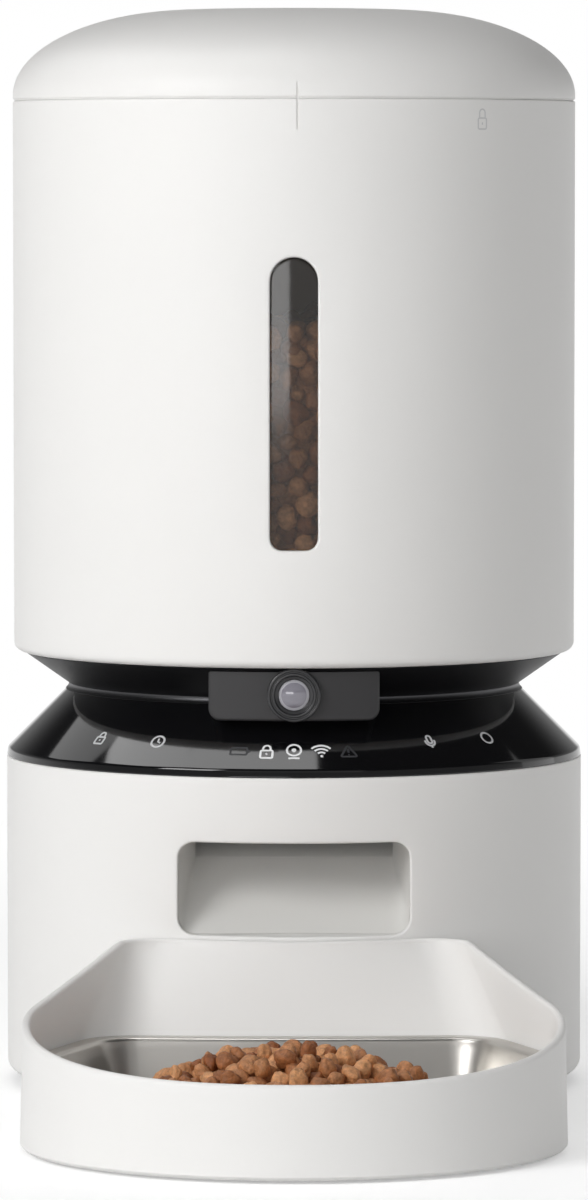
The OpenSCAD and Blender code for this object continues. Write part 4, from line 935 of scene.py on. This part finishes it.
class FEEDER_OT_window(FeederOperator):
    """Make the smoked level window and the food behind it"""

    bl_idname = "feeder.window"
    bl_label = "Window and hopper food"

    def execute(self, context):
        """Bend the window to the hopper's wall and fill the hopper up to its level."""
        s = sizes()
        radius = s["hopper_radius"]
        inner = radius - WALL
        half = s["window_width"] / 2
        slot = (half, s["window_low"], s["window_high"], WINDOW_CORNER, half)
        counts = (24, 40, 24, 40)
        front, back = radius - 0.3, inner - 1.6

        def ring(grow, wall):
            return [on_wall(u, z, wall, 0) for u, z in slot_outline(*slot, grow, counts)]

        inside = [-half, -half + 0.4, -6.5, -5.0, -3.5, -2.0, -1.0, -0.6]
        face = [ring(g, front) for g in inside]
        face += [ring(-0.1 - 0.5 * (1 - math.sin(a)), front - 0.5 * (1 - math.cos(a)))
                 for a in (0.4, 0.8, 1.2, math.pi / 2)]
        skin = Skin()
        skin.patch(face, True, 0)
        # The flange behind the wall is wider than the slot and holds the window in it
        flange, seat = 4.0, inner - 0.05
        rest = [face[-1], ring(-0.1, seat), ring(flange - 0.4, seat), ring(flange, inner - 0.4),
                ring(flange, back)]
        rest += [ring(g, back) for g in (2.0, 0.0, -2.0, -4.0, -6.5, -half)]
        skin.patch(rest, True, 1)
        window = skin.piece("Level_window")
        finish_piece(window, "base", [finish("smoked_window"), finish("window_inside")],
                     ["level_window"])

        level = s["fill_level"]
        width = s["hopper_food"]
        dice = random.Random(41)
        # A plain core fills the hopper where no single piece of food is seen
        core = Skin()
        lathe(core, rounded([(0.001, 152.0, 0), (58.0, 152.0, 2), (84.0, 176.0, 6), (84.0, level - 13, 4),
                             (0.001, level - 9, 0)]), columns=96)
        reach = inner - 1.5

        def anywhere():
            r = reach * math.sqrt(dice.random())
            a = dice.uniform(0, TURN)
            return r * math.sin(a), -r * math.cos(a)

        def in_hopper(x, y, r):
            return math.hypot(x, y) < reach - r and not (abs(x) < 14 + r and -y > back - 1 - r)

        top = pour(dice, 720, width, anywhere, level - 12, in_hopper, 14)
        lower = back - 0.6

        def by_window():
            return dice.uniform(-15, 15), dice.uniform(-lower, -lower + 12)

        def in_column(x, y, r):
            return abs(x) < 17 - r / 2 and math.hypot(x, y) < lower - r and -y > lower - 16

        column = pour(dice, 290, width, by_window, 174.0, in_column, 26)
        column = [p for p in column if p[2] < level]
        top_food = food_piece("Food_in_hopper", dice, top, 2)
        near_food = food_piece("Food_at_window", dice, column, 3)
        heart = core.piece("Food_core")
        for piece in (top_food, near_food, heart):
            finish_piece(piece, "base", [finish("food")], crease=60)
        return {"FINISHED"}


class FEEDER_OT_waist(FeederOperator):
    """Make the black waist, the camera housing, the lens bezel and the front lens"""

    bl_idname = "feeder.waist"
    bl_label = "Waist and camera"

    def execute(self, context):
        """Turn the waist and the bezel, and loft the camera housing with rounded edges."""
        s = sizes()
        skin = Skin()
        run = (WAIST_R - NECK_R) / (HOPPER - NECK)
        land = 75.0
        slant = WALL * math.sqrt(1 + run * run)
        gap, skirt = 0.12, 0.22
        slope_top = RING_R + RING_LIP
        cove_r, tip_r = NECK_R + 1.5, NECK_R + 2.5
        line = rounded([
            (NECK_R, DECK, 0), (NECK_R, NECK + gap, 0), (slope_top - NECK, NECK + gap, 0),
            (tip_r, slope_top - tip_r + gap, 0), (tip_r, slope_top - tip_r + skirt, 0),
            (cove_r, slope_top - cove_r + skirt, 2.0), (cove_r, NECK + (cove_r - NECK_R) / run, 0.5),
            (WAIST_R, HOPPER, 0.25), (land, HOPPER, 0),
            (land, HOPPER - WALL, 0), (WAIST_R - slant - WALL * run, HOPPER - WALL, 0),
            (NECK_R - WALL, NECK + (slant - WALL) / run, 0), (NECK_R - WALL, DECK, 0)])
        # The trim runs from the skirt's tip, point 4, over the cove's two roundings of seven points each
        first = 4
        last = first + 2 * 7
        lathe(skin, line[:first + 1], closed=False)
        lathe(skin, line[first:last + 1], closed=False, mark=1)
        lathe(skin, line[last:] + line[:1], closed=False)
        waist = skin.piece("Waist_cone")
        for key in ("satin_black", "neck_trim"):
            waist.data.materials.append(finish(key))
        bezel_back = LENS_D - 5.3
        cut(waist, lens_tool(BARREL_WAY, BARREL_BACK), lens_tool(s["bezel_radius"] + 0.3, bezel_back))
        finish_piece(waist, "base", [], ["waist_cone"])

        self.housing(s)
        self.bezel(s)
        return {"FINISHED"}

    def housing(self, s):
        """Loft the housing from inside the waist to its curved front, with a round hole for the bezel."""
        half = s["camera_width"] / 2
        low = s["camera_low"]
        top = HOPPER - 0.3
        corner, soft, hole = 3.8, 0.9, s["bezel_radius"] - 1.0
        counts = (48, 20, 48, 20)

        def outline(grow):
            return slot_outline(half, low, top, corner, 0.3, grow, counts)

        def ring(shape, wall):
            return [on_wall(u, z, wall, 0) for u, z in shape]

        skin = Skin()
        rings = [ring(outline(0), 74.0), ring(outline(0), LENS_D - soft)]
        for k in range(1, 7):
            a = math.pi / 2 * k / 6
            rings.append(ring(outline(-soft * (1 - math.cos(a))), LENS_D - soft * (1 - math.sin(a))))
        edge = outline(-soft)
        angles = [math.atan2(z - LENS_Z, u) for u, z in edge]
        circle = [(hole * math.cos(a), LENS_Z + hole * math.sin(a)) for a in angles]
        for t in (0.25, 0.5, 0.75, 1.0):
            face = [(u + (p - u) * t, z + (q - z) * t) for (u, z), (p, q) in zip(edge, circle)]
            rings.append(ring(face, LENS_D))
        rings.append(ring(circle, 80.0))
        skin.loft(rings)
        housing = skin.piece("Camera_housing")
        finish_piece(housing, "base", [finish("camera_grey")], ["camera_housing"])

    def bezel(self, s):
        """Turn the stepped bezel and the domed lens round the lens axis."""
        outer = s["bezel_radius"]
        lens = s["lens_radius"]
        sleeve, bore = outer - 1.2, 5.2
        front, seat, back = LENS_D + 2.2, LENS_D + 0.05, LENS_D - 5
        skin = Skin()
        lathe(skin, rounded([
            (sleeve, seat, 0.2), (outer, seat, 0.2), (outer, front, 0.55), (outer - 0.95, front, 0.25),
            (outer - 1.05, front - 0.7, 0.1), (outer - 1.5, front - 0.7, 0.1),
            (outer - 1.6, front - 0.2, 0.2), (outer - 2.3, front - 0.2, 0.25),
            (lens + 1.2, front - 1.1, 0.15), (lens + 0.2, LENS_D + 0.9, 0.2),
            (lens + 0.2, LENS_D - 0.8, 0), (bore, LENS_D - 0.8, 0), (bore, back, 0), (sleeve, back, 0)],
            4), along_lens, columns=96)
        bezel = skin.piece("Lens_bezel")
        finish_piece(bezel, "base", [finish("bezel_black")], ["lens_bezel"])

        tip, dome = LENS_D + 1.6, 1.1
        curve = (lens * lens + dome * dome) / (2 * dome)
        # From step ten of twelve out to its rim, the lens takes the paler colour of a painted highlight
        steps, ground = 12, 10
        radii = [lens * k / steps for k in range(steps + 1)]
        glass = [(r, tip - curve + math.sqrt(curve * curve - r * r)) for r in radii]
        skin = Skin()
        lathe(skin, glass[:ground + 1], along_lens, False, 96, 0)
        back = [(lens, LENS_D - 0.75), (lens - 0.15, LENS_D - 0.9), (0.0, LENS_D - 0.9)]
        lathe(skin, glass[ground:] + back, along_lens, False, 96, 1)
        front_lens = skin.piece("Front_lens")
        finish_piece(front_lens, "base", [finish("lens_glass"), finish("lens_rim_highlight")],
                     ["front_lens"])


def lens_tool(radius, start):
    """Tool for a round way along the lens axis, from a distance in front of the feeder's axis."""
    tool = Skin()
    lathe(tool, [(0.0, start), (radius, start), (radius, 110.0), (0.0, 110.0)], along_lens, columns=64)
    return tool.mesh("tool")


class FEEDER_OT_ring(FeederOperator):
    """Make the gloss black control ring and print its symbols"""

    bl_idname = "feeder.ring"
    bl_label = "Control ring"

    def execute(self, context):
        """Turn the ring with rounded edges and lay ink lines on its slope."""
        skin = Skin()
        thick = 2.2
        drop = thick * math.sqrt(2)
        draft = 0.36
        rise = RING_LIP - DECK
        top = NECK_R + 1.2
        lathe(skin, rounded([
            (RING_R + draft, DECK, 0.3), (RING_R + draft * 0.8, DECK + rise * 0.2, 0),
            (RING_R + draft * 0.4, DECK + rise * 0.6, 0), (RING_R, RING_LIP, 1.6),
            (top, NECK, 0.35), (NECK_R + 0.3, NECK, 0.2),
            (NECK_R + 0.3, RING_LIP + RING_R - NECK_R - 0.3 - drop, 0),
            (RING_R - thick, RING_LIP + thick - drop, 0), (RING_R - thick, DECK, 0)]))
        ring = skin.piece("Control_ring")
        cut(ring, lens_tool(BARREL_WAY, BARREL_BACK))
        finish_piece(ring, "base", [finish("gloss_black")], ["control_ring"])

        lit, keys, dim = Skin(), Skin(), Skin()
        status, touch = 91.5, 89.4
        for skin, shape, angle, radius, scale in (
                (dim, "battery", -11.2, status, 0.85), (lit, "padlock", -5.6, status, 0.85),
                (lit, "camera", 0.0, status, 0.95), (lit, "wireless", 5.6, status, 0.85),
                (dim, "warning", 11.2, status, 0.85), (keys, "padlock", -45.5, touch, 0.78),
                (keys, "clock", -30.0, touch, 0.78), (keys, "microphone", 30.0, touch, 0.78),
                (keys, "round_key", 45.5, touch, 0.78)):
            self.symbol(skin, shape, angle, radius, scale)
        for name, skin, ink in (("Symbols_lit", lit, "ink"), ("Symbols_keys", keys, "key_ink"),
                                ("Symbols_dim", dim, "dim_ink")):
            piece = skin.piece(name, 0.001)
            finish_piece(piece, "base", [finish(ink)])
        return {"FINISHED"}

    def symbol(self, skin, shape, angle, radius, scale):
        """Lay one symbol on the ring's slope, its middle at an angle in degrees and a radius."""
        s = sizes()
        size = s["symbol"] * scale
        column = math.radians(angle)
        height = RING_LIP + RING_R - radius
        slant = math.sqrt(0.5)
        proud = 0.04

        def place(u, v, h):
            r = radius - v * slant + h * slant
            return upright(r, height + v * slant + h * slant, column + u / radius)

        def ink(line, looped=False):
            stroke_line(skin, [(u * size, v * size) for u, v in line], place, s["stroke"], proud, looped)

        def dot(x, y, r):
            rim = arc_line(x, y, r, 0, 342, 19)
            prism(skin, [(u * size, v * size) for u, v in rim], place, -proud, proud)

        # Shapes in parts of the symbol's height, from its middle
        if shape == "padlock":
            ink(rounded_box(-0.36, -0.5, 0.36, 0.08, 0.08), True)
            ink([(0.22, 0.08)] + arc_line(0, 0.24, 0.22, 0, 180, 14) + [(-0.22, 0.08)])
            dot(0, -0.2, 0.07)
        elif shape == "battery":
            ink(rounded_box(-0.55, -0.26, 0.45, 0.26, 0.07), True)
            ink([(0.58, -0.1), (0.58, 0.1)])
        elif shape == "camera":
            ink(arc_line(0, 0.1, 0.38, 0, 350, 35), True)
            dot(0, 0.1, 0.13)
            ink([(-0.3, -0.46), (0.3, -0.46)])
        elif shape == "wireless":
            for r in (0.3, 0.56, 0.82):
                ink(arc_line(0, -0.36, r, 45, 135, 14))
            dot(0, -0.36, 0.09)
        elif shape == "warning":
            ink(rounded([(-0.5, -0.42, 0.06), (0.5, -0.42, 0.06), (0.0, 0.46, 0.06)], 3), True)
            ink([(0, 0.16), (0, -0.12)])
            dot(0, -0.27, 0.05)
        elif shape == "clock":
            ink(arc_line(0, 0, 0.46, 0, 350, 35), True)
            ink([(0, 0.26), (0, 0), (0.2, -0.1)])
        elif shape == "microphone":
            ink(rounded_box(-0.17, -0.14, 0.17, 0.5, 0.165, 6), True)
            ink([(-0.34, 0.12)] + arc_line(0, 0.0, 0.34, 180, 360, 18) + [(0.34, 0.12)])
            ink([(0, -0.34), (0, -0.52)])
        else:
            ink(arc_line(0, 0, 0.44, 0, 350, 35), True)


class FEEDER_OT_base(FeederOperator):
    """Make the white base with its outlet, slots and the chute behind the outlet"""

    bl_idname = "feeder.base"
    bl_label = "Base and chute"

    def execute(self, context):
        """Build the holed wall with its deck and foot, then the chute."""
        s = sizes()
        radius = s["base_radius"]
        inner = radius - WALL
        edge = s["base_edge"]
        low, high = s["outlet_low"], s["outlet_high"]
        rest, deck_in, soft = 3.5, 68.0, 0.6
        rear, margin, rows = COLUMNS // 2, 5.0, 40
        levels = [rest + edge, 9.0, 11.0, 13.0, 15.0, 16.5, 18.0, 19.5, 21.0, 22.5, 24.0, 34.0, 44.0]
        levels += [low - margin + (high - low + 2 * margin) * k / rows for k in range(rows + 1)]
        levels += [100.0, 107.5]
        first = self.near(levels, low - margin)
        last = self.near(levels, high + margin)
        half, corner = s["outlet_width"] / 2, s["outlet_corner"]
        # The outlet, the slot for the tray's tongue, the hole for the power socket, and the sound slots
        holes = [
            (0, 17, first, last, (half, low, high, corner, corner), s["hole_edge"]),
            (0, 13, 0, 4, (29.9, 8.3, 13.9, 0.4, 0.4), 0.3),
            (rear, 4, 2, 10, (4.5, 13.0, 22.0, 4.5, 4.5), 0.4),
        ]
        holes += [(rear, 7, self.near(levels, z - 2.5), self.near(levels, z + 2.5),
                   (11.7, z - 1, z + 1, 0.9, 0.9), 0.3) for z in (64.0, 69.0, 74.0, 79.0, 84.0)]
        skin = Skin()
        holed_wall(skin, radius, inner, levels, holes)
        top = [(radius, levels[-1])] + arc_line(radius - soft, DECK - soft, soft, 0, 90, 5)
        top += [(deck_in, DECK), (deck_in, DECK - WALL), (inner, DECK - WALL), (inner, levels[-1])]
        lathe(skin, top, closed=False)
        tip = math.degrees(math.asin((edge - WALL) / edge))
        foot = [(inner, levels[0])] + arc_line(radius - edge, rest + edge, edge, tip - 90, 0, 8)
        lathe(skin, foot, closed=False)
        base = skin.piece("Base_shell")
        finish_piece(base, "base", [finish("white_shell")], ["base_shell"])
        self.chute(s, inner - 0.3)
        return {"FINISHED"}

    def near(self, levels, z):
        """Index of the level next to a height."""
        return min(range(len(levels)), key=lambda k: abs(levels[k] - z))

    def chute(self, s, wall):
        """Loft the chute's outside, and cut its way out of it."""
        low, high = s["outlet_low"], s["outlet_high"]
        half = s["outlet_width"] / 2
        corner = s["outlet_corner"]
        counts = (40, 20, 40, 20)
        mouth_d = math.sqrt(wall * wall - half * half)
        throat_d, lap, chamber = 60.0, 0.2, 104.0
        throat_half, throat_back, sill_d = 33.09, 21.98, 97.5
        slope = (chamber - low) / (sill_d - throat_back)

        def ramp(d):
            return chamber - (d - throat_back) * slope

        def way(grow, reach):
            """Rings of the mouth, from the wall at a radius to the throat."""
            near = slot_outline(half, low, high, corner, corner, grow, counts)
            far = slot_outline(throat_half - 0.4, ramp(throat_d), high, 0.4, 0.4, grow, counts)
            rings = [[(u, -math.sqrt(reach * reach - u * u), z) for u, z in near]]
            for k in range(7):
                t = k / 6
                d = mouth_d + (throat_d - mouth_d) * t
                rings.append([(u + (p - u) * t, -min(d, math.sqrt(reach * reach - u * u)), z + (q - z) * t)
                              for (u, z), (p, q) in zip(near, far)])
            rings.append([(u, lap - throat_d, z) for u, z in far])
            return rings

        def throat(grow, over):
            """Outline of the throat, seen from the side."""
            back = throat_back - grow * math.sqrt(1 + slope * slope) / slope
            return [(throat_d + grow, ramp(throat_d + grow) - grow * math.sqrt(1 + slope * slope)),
                    (back - over / slope, chamber + over), (throat_d + grow, chamber + over)]

        def solid(grow, reach, over):
            skin = Skin()
            rings = way(grow, reach)
            skin.loft(rings)
            column = Skin()
            side = throat_half + grow
            prism(column, throat(grow, over), lambda d, z, x: (x, -d, z), -side, side)
            return skin.mesh("tool"), column.mesh("tool")

        outside, column = solid(2.0, wall, 0.0)
        chute = link("Chute", outside)
        cut(chute, column, operation="UNION")
        # Holes on both sides for the outlet sensors
        sight = Skin()
        prism(sight, arc_line(51.0, 97.0, 2.8, 0, 350, 35), lambda d, z, x: (x, -d, z), -60.0, 60.0)
        cut(chute, *solid(0.0, wall + 2, 1.0), sight.mesh("tool"))
        finish_piece(chute, "base", [finish("inner_white")], ["chute"])


class FEEDER_OT_tray(FeederOperator):
    """Make the white tray that hangs on the base"""

    bl_idname = "feeder.tray"
    bl_label = "Tray"

    def execute(self, context):
        """Loft the tray through its rings and add the tongue that goes into the base."""
        wall = sizes()["tray_wall"]
        half = wall / 2
        floor = 1.0
        ledge_in = BOWL_NECK - 0.3
        heights = [rim_height(p.y) for p in tray_outline(0, 0)]

        def rim(inset, drop):
            return [(p.x, -p.y, h - drop) for p, h in zip(tray_outline(inset, 0), heights)]

        rings = [ring_at(1.0, 1, floor), ring_at(0.5, 1, floor + 0.15), ring_at(0.0, 1, floor + 0.5),
                 ring_at(-0.6, 1, floor + 1.2)]
        side = ring_at(0.0, 1, LEDGE_Z)
        rings += blend_rings(rings[-1], side, 6) + [side]
        lip = [rim(half * (1 - math.cos(math.pi * k / 12)), half * (1 - math.sin(math.pi * k / 12)))
               for k in range(13)]
        rings += blend_rings(side, lip[0], 8) + lip
        ledge = ring_at(wall + 0.6, 1, LEDGE_Z)
        rings += blend_rings(lip[-1], ledge, 8) + [ledge]
        rings += [ring_at(ledge_in - 0.6, 1, LEDGE_Z), ring_at(ledge_in - 0.15, 1, LEDGE_Z - 0.15),
                  ring_at(ledge_in, 1, LEDGE_Z - 0.6), ring_at(ledge_in, 1, 3.5)]
        skin = Skin()
        skin.loft(rings)
        tongue = rounded_box(-29.5, 8.7, 29.5, 13.5, 0.6)
        tongue_end = -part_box("tray_shell")[1].y / MM
        prism(skin, tongue, lambda u, v, h: (u, -h, v), tongue_end, BACK_D[1] + wall - 0.4)
        tray = skin.piece("Tray_shell")
        finish_piece(tray, "tray", [finish("white_shell")], ["tray_shell"])
        return {"FINISHED"}


class FEEDER_OT_bowl(FeederOperator):
    """Make the brushed steel bowl and the food in it"""

    bl_idname = "feeder.bowl"
    bl_label = "Bowl and food"

    def execute(self, context):
        """Loft the bowl with its rolled flange and pour the food into it."""
        sheet, roll = 0.9, 1.6
        flange = LEDGE_Z + 0.3
        foot_z, fillet, draft = 9.5, 5.0, 4.0
        foot = BOWL_NECK + draft
        inner = fillet - sheet

        def bend(inset, z, radius, first, last, steps):
            """Rings along an arc, given by its middle, radius and angles."""
            return [ring_at(i, 1, h) for i, h in arc_line(inset, z, radius, first, last, steps)]

        rings = bend(foot + fillet, foot_z + fillet, fillet, -90, -180, 8)
        top = ring_at(BOWL_NECK + 0.5, 1, flange - 1.0)
        rings += blend_rings(rings[-1], top, 6) + [top]
        rings += [ring_at(BOWL_NECK, 1, flange - 0.2), ring_at(BOWL_NECK - 0.4, 1, flange),
                  ring_at(BOWL_EDGE + 0.3, 1, flange), ring_at(BOWL_EDGE, 1, flange + 0.3),
                  ring_at(BOWL_EDGE, 1, flange + sheet - 0.3), ring_at(BOWL_EDGE + 0.3, 1, flange + sheet)]
        rings += bend(BOWL_NECK - 0.4, flange + sheet - roll, roll, 90, 0, 6)
        rings += blend_rings(rings[-1], ring_at(foot + sheet, 1, foot_z + fillet), 6)
        rings += bend(foot + sheet + inner, foot_z + fillet, inner, 180, 270, 8)
        skin = Skin()
        skin.loft(rings)
        bowl = skin.piece("Steel_bowl")
        finish_piece(bowl, "bowl", [finish("bowl_steel")], ["steel_bowl"], 40)

        width = sizes()["bowl_food"]
        dice = random.Random(7)
        edge = [(p.x, -p.y) for p in tray_outline(foot + sheet + width * 0.55, 1)]

        def draw():
            return dice.uniform(-66.0, 66.0), -dice.uniform(128.0, 232.0)

        def ceiling(x, y):
            """Highest place of the heap: steeper to the right, as it lay when poured."""
            crest, fall = 34.0, 11.0
            side = (x - 2.0) / (40.0 if x > 2.0 else 47.0)
            deep = (-y - 172.0) / 40.0
            return crest - fall * side * side - fall * deep * deep

        def inside(x, y, r):
            return in_outline(edge, x, y)

        heap = pour(dice, 2200, width, draw, foot_z + sheet, inside, 9, ceiling)
        food = food_piece("Food_in_bowl", dice, heap, 3)
        finish_piece(food, "bowl", [finish("food")], crease=60)
        return {"FINISHED"}


class FEEDER_OT_works(FeederOperator):
    """Give every solid that stays as it is the finish of its slot"""

    bl_idname = "feeder.works"
    bl_label = "Inner works and underside"

    def execute(self, context):
        """Assign the finish of each node's slot."""
        for part in frame["record"]["subparts"]:
            piece = frame["nodes"][part["node"]]
            piece.data.materials.clear()
            piece.data.materials.append(finish(part["material_slot"]))
        return {"FINISHED"}


# Each lamp's name, place, aim, width, height and watts, if it lights surfaces, and if it shows in gloss.
# The cards only show in gloss: in the control ring and the waist, in the window, and in the bowl.
LAMPS = (
    ("Key_softbox", (-1.24, -1.29, 1.06), (0, 0, 0.2), 0.8, 0.8, 17.8, True, True),
    ("Front_fill", (-0.514, -2.139, 0.75), (0, 0, 0.2), 0.9, 1.5, 2.4, True, False),
    ("Low_fill", (-0.35, -1.35, 0.2), (0, -0.2, 0.1), 0.6, 0.4, 2.0, True, False),
    ("Side_fill", (1.6, 0.7, 0.7), (0, 0, 0.2), 0.8, 1.4, 2.0, True, True),
    ("Back_rim", (1.1, 1.5, 0.6), (0, 0, 0.2), 0.6, 1.4, 2.3, True, False),
    ("Back_fill", (0.1, 2.1, 0.8), (0, 0, 0.2), 1.0, 1.0, 10.0, True, False),
    ("Ring_card", (-0.235, -0.2, 1.45), (-0.235, -0.2, 0.0), 0.74, 0.36, 3.5, False, True),
    ("Ring_card_left", (-0.865, 0.23, 1.45), (-0.865, 0.23, 0.0), 0.52, 0.74, 5.1, False, True),
    ("Back_card", (-1.03, 0.94, 1.25), (0, 0, 0.12), 0.6, 0.6, 1.5, False, True),
    ("Front_card", (-0.514, -2.139, 0.275), (0, 0, 0.275), 0.9, 0.25, 2.9, False, True),
    ("Bowl_card", (0, -2.2, 1.05), (0, 0, 0.05), 2.4, 0.9, 2.2, False, True),
)


class FEEDER_OT_stage(FeederOperator):
    """Set up the floor, the studio light and the camera"""

    bl_idname = "feeder.stage"
    bl_label = "Stage"

    def execute(self, context):
        """Make the floor, the world, the lamps and the camera."""
        scene = context.scene
        scene.view_settings.view_transform = "Standard"
        self.floor()
        self.world(scene)
        for row in LAMPS:
            self.lamp(*row)
        lens = bpy.data.cameras.new("Camera")
        lens.lens = 202.9
        lens.sensor_fit = "AUTO"
        lens.sensor_width = 36.0
        lens.clip_end = 50.0
        eye = bpy.data.objects.new("Camera", lens)
        scene.collection.objects.link(eye)
        place, aim = Vector((0.0, -2.293, 0.3098)), Vector((0.0, 0.0, 0.163))
        eye.location = place
        eye.rotation_euler = (aim - place).to_track_quat("-Z", "Y").to_euler()
        scene.camera = eye
        return {"FINISHED"}

    def lamp(self, name, place, aim, width, height, power, lights, shows):
        """One soft rectangular lamp, which may light surfaces, show in gloss, or do both."""
        light = bpy.data.lights.new(name, "AREA")
        light.shape = "RECTANGLE"
        light.size = width
        light.size_y = height
        light.energy = power
        lamp = bpy.data.objects.new(name, light)
        bpy.context.scene.collection.objects.link(lamp)
        lamp.location = place
        lamp.visible_diffuse = lights
        lamp.visible_glossy = shows
        lamp.rotation_euler = (Vector(aim) - Vector(place)).to_track_quat("-Z", "Y").to_euler()

    def seen_rays(self, tree):
        """A factor of 1 for rays from the camera, mirrors and glass."""
        path = add(tree, "ShaderNodeLightPath")
        both = add(tree, "ShaderNodeMath", {"operation": "MAXIMUM"},
                   {0: path.outputs["Is Camera Ray"], 1: path.outputs["Is Glossy Ray"]})
        return add(tree, "ShaderNodeMath", {"operation": "MAXIMUM"},
                   {0: both.outputs["Value"], 1: path.outputs["Is Transmission Ray"]}).outputs["Value"]

    def floor(self):
        """A round pale floor that keeps the shadow near the feeder and fades to the white backdrop."""
        skin = Skin()
        rings = [0.0, 150.0, 300.0, 450.0, 600.0, 900.0, 1500.0, 4000.0, 12000.0]
        skin.patch([[upright(r, 0.0, TURN * i / 96) for i in range(96)] for r in rings], True)
        ground = skin.piece("Floor")
        made, tree = blank("paper_sweep_white")
        at = add(tree, "ShaderNodeTexCoord").outputs["Object"]
        far = add(tree, "ShaderNodeVectorMath", {"operation": "LENGTH"}, {0: at})
        fade = add(tree, "ShaderNodeMapRange", {"interpolation_type": "SMOOTHSTEP"},
                   {"Value": far.outputs["Value"], "From Min": 0.3, "From Max": 0.9})
        rays = self.seen_rays(tree)
        seen = add(tree, "ShaderNodeMath", {"operation": "MULTIPLY"}, {0: fade.outputs["Result"], 1: rays})
        fibre = add(tree, "ShaderNodeTexNoise", None, {"Vector": at, "Scale": per_mm(3.0), "Detail": 3.0})
        tone = colours().floor
        tint = add(tree, "ShaderNodeMix", {"data_type": "RGBA"},
                   {0: fibre.outputs["Fac"], 6: shade(tone, 0.985), 7: shade(tone, 1.0)})
        paper = add(tree, "ShaderNodeBsdfPrincipled", None,
                    {"Base Color": tint.outputs[2], "Roughness": 0.9, "Specular IOR Level": 0.1})
        lift = add(tree, "ShaderNodeMath", {"operation": "MULTIPLY"}, {0: rays, 1: 0.36})
        glow = add(tree, "ShaderNodeEmission", None,
                   {"Color": (1.0, 1.0, 1.0, 1.0), "Strength": lift.outputs["Value"]})
        near = add(tree, "ShaderNodeAddShader", None,
                   {0: paper.outputs["BSDF"], 1: glow.outputs["Emission"]})
        white = add(tree, "ShaderNodeEmission", None, {"Color": (1.0, 1.0, 1.0, 1.0), "Strength": 1.0})
        both = add(tree, "ShaderNodeMixShader", None,
                   {0: seen.outputs["Value"], 1: near.outputs["Shader"], 2: white.outputs["Emission"]})
        add(tree, "ShaderNodeOutputMaterial", None, {"Surface": both.outputs["Shader"]})
        ground.data.materials.append(made)

    def world(self, scene):
        """White low round the horizon for what is seen, a dim room above it, and soft ambient light."""
        world = bpy.data.worlds.new("Studio")
        scene.world = world
        world.use_nodes = True
        tree = world.node_tree
        tree.nodes.clear()
        way = add(tree, "ShaderNodeTexCoord").outputs["Generated"]
        part = add(tree, "ShaderNodeSeparateXYZ", None, {"Vector": way})
        low = add(tree, "ShaderNodeMapRange", {"interpolation_type": "SMOOTHSTEP"},
                  {"Value": part.outputs["Z"], "From Min": 0.02, "From Max": 0.12,
                   "To Min": 1.0, "To Max": 0.3})
        room = add(tree, "ShaderNodeMapRange", {"interpolation_type": "SMOOTHSTEP"},
                   {"Value": part.outputs["Z"], "From Min": 0.15, "From Max": 0.45,
                    "To Min": 1.0, "To Max": 0.13})
        both = add(tree, "ShaderNodeMath", {"operation": "MULTIPLY"},
                   {0: low.outputs["Result"], 1: room.outputs["Result"]})
        ambient = 0.34
        level = add(tree, "ShaderNodeMix", {"data_type": "FLOAT"},
                    {0: self.seen_rays(tree), 2: ambient, 3: both.outputs["Value"]})
        sky = add(tree, "ShaderNodeBackground", None,
                  {"Color": (1.0, 1.0, 1.0, 1.0), "Strength": level.outputs[0]})
        add(tree, "ShaderNodeOutputWorld", None, {"Surface": sky.outputs["Background"]})


OPERATORS = (
    FEEDER_OT_works, FEEDER_OT_lid, FEEDER_OT_hopper, FEEDER_OT_window, FEEDER_OT_waist, FEEDER_OT_ring,
    FEEDER_OT_base, FEEDER_OT_tray, FEEDER_OT_bowl, FEEDER_OT_stage,
)


class FEEDER_PT_pieces(bpy.types.Panel):
    """Sidebar panel of the feeder"""

    bl_idname = "FEEDER_PT_pieces"
    bl_label = "Pet feeder"
    bl_space_type = "VIEW_3D"
    bl_region_type = "UI"
    bl_category = "Feeder"

    def draw(self, context):
        """List the operators, the sizes and the colours."""
        for kind in OPERATORS:
            self.layout.operator(kind.bl_idname)
        for group in (context.scene.feeder_sizes, context.scene.feeder_colours):
            box = self.layout.box()
            for key in type(group).__annotations__:
                box.prop(group, key)


CLASSES = (FeederSizes, FeederColours) + OPERATORS + (FEEDER_PT_pieces,)


def register():
    """Register the classes and hang the two groups on the scene."""
    for kind in CLASSES:
        bpy.utils.register_class(kind)
    bpy.types.Scene.feeder_sizes = bpy.props.PointerProperty(type=FeederSizes)
    bpy.types.Scene.feeder_colours = bpy.props.PointerProperty(type=FeederColours)


def unregister():
    """Take the groups and the classes off again."""
    del bpy.types.Scene.feeder_colours
    del bpy.types.Scene.feeder_sizes
    for kind in reversed(CLASSES):
        bpy.utils.unregister_class(kind)


def main():
    """Make every piece in order."""
    register()
    for kind in OPERATORS:
        group, name = kind.bl_idname.split(".")
        getattr(getattr(bpy.ops, group), name)()


if __name__ == "__main__":
    main()
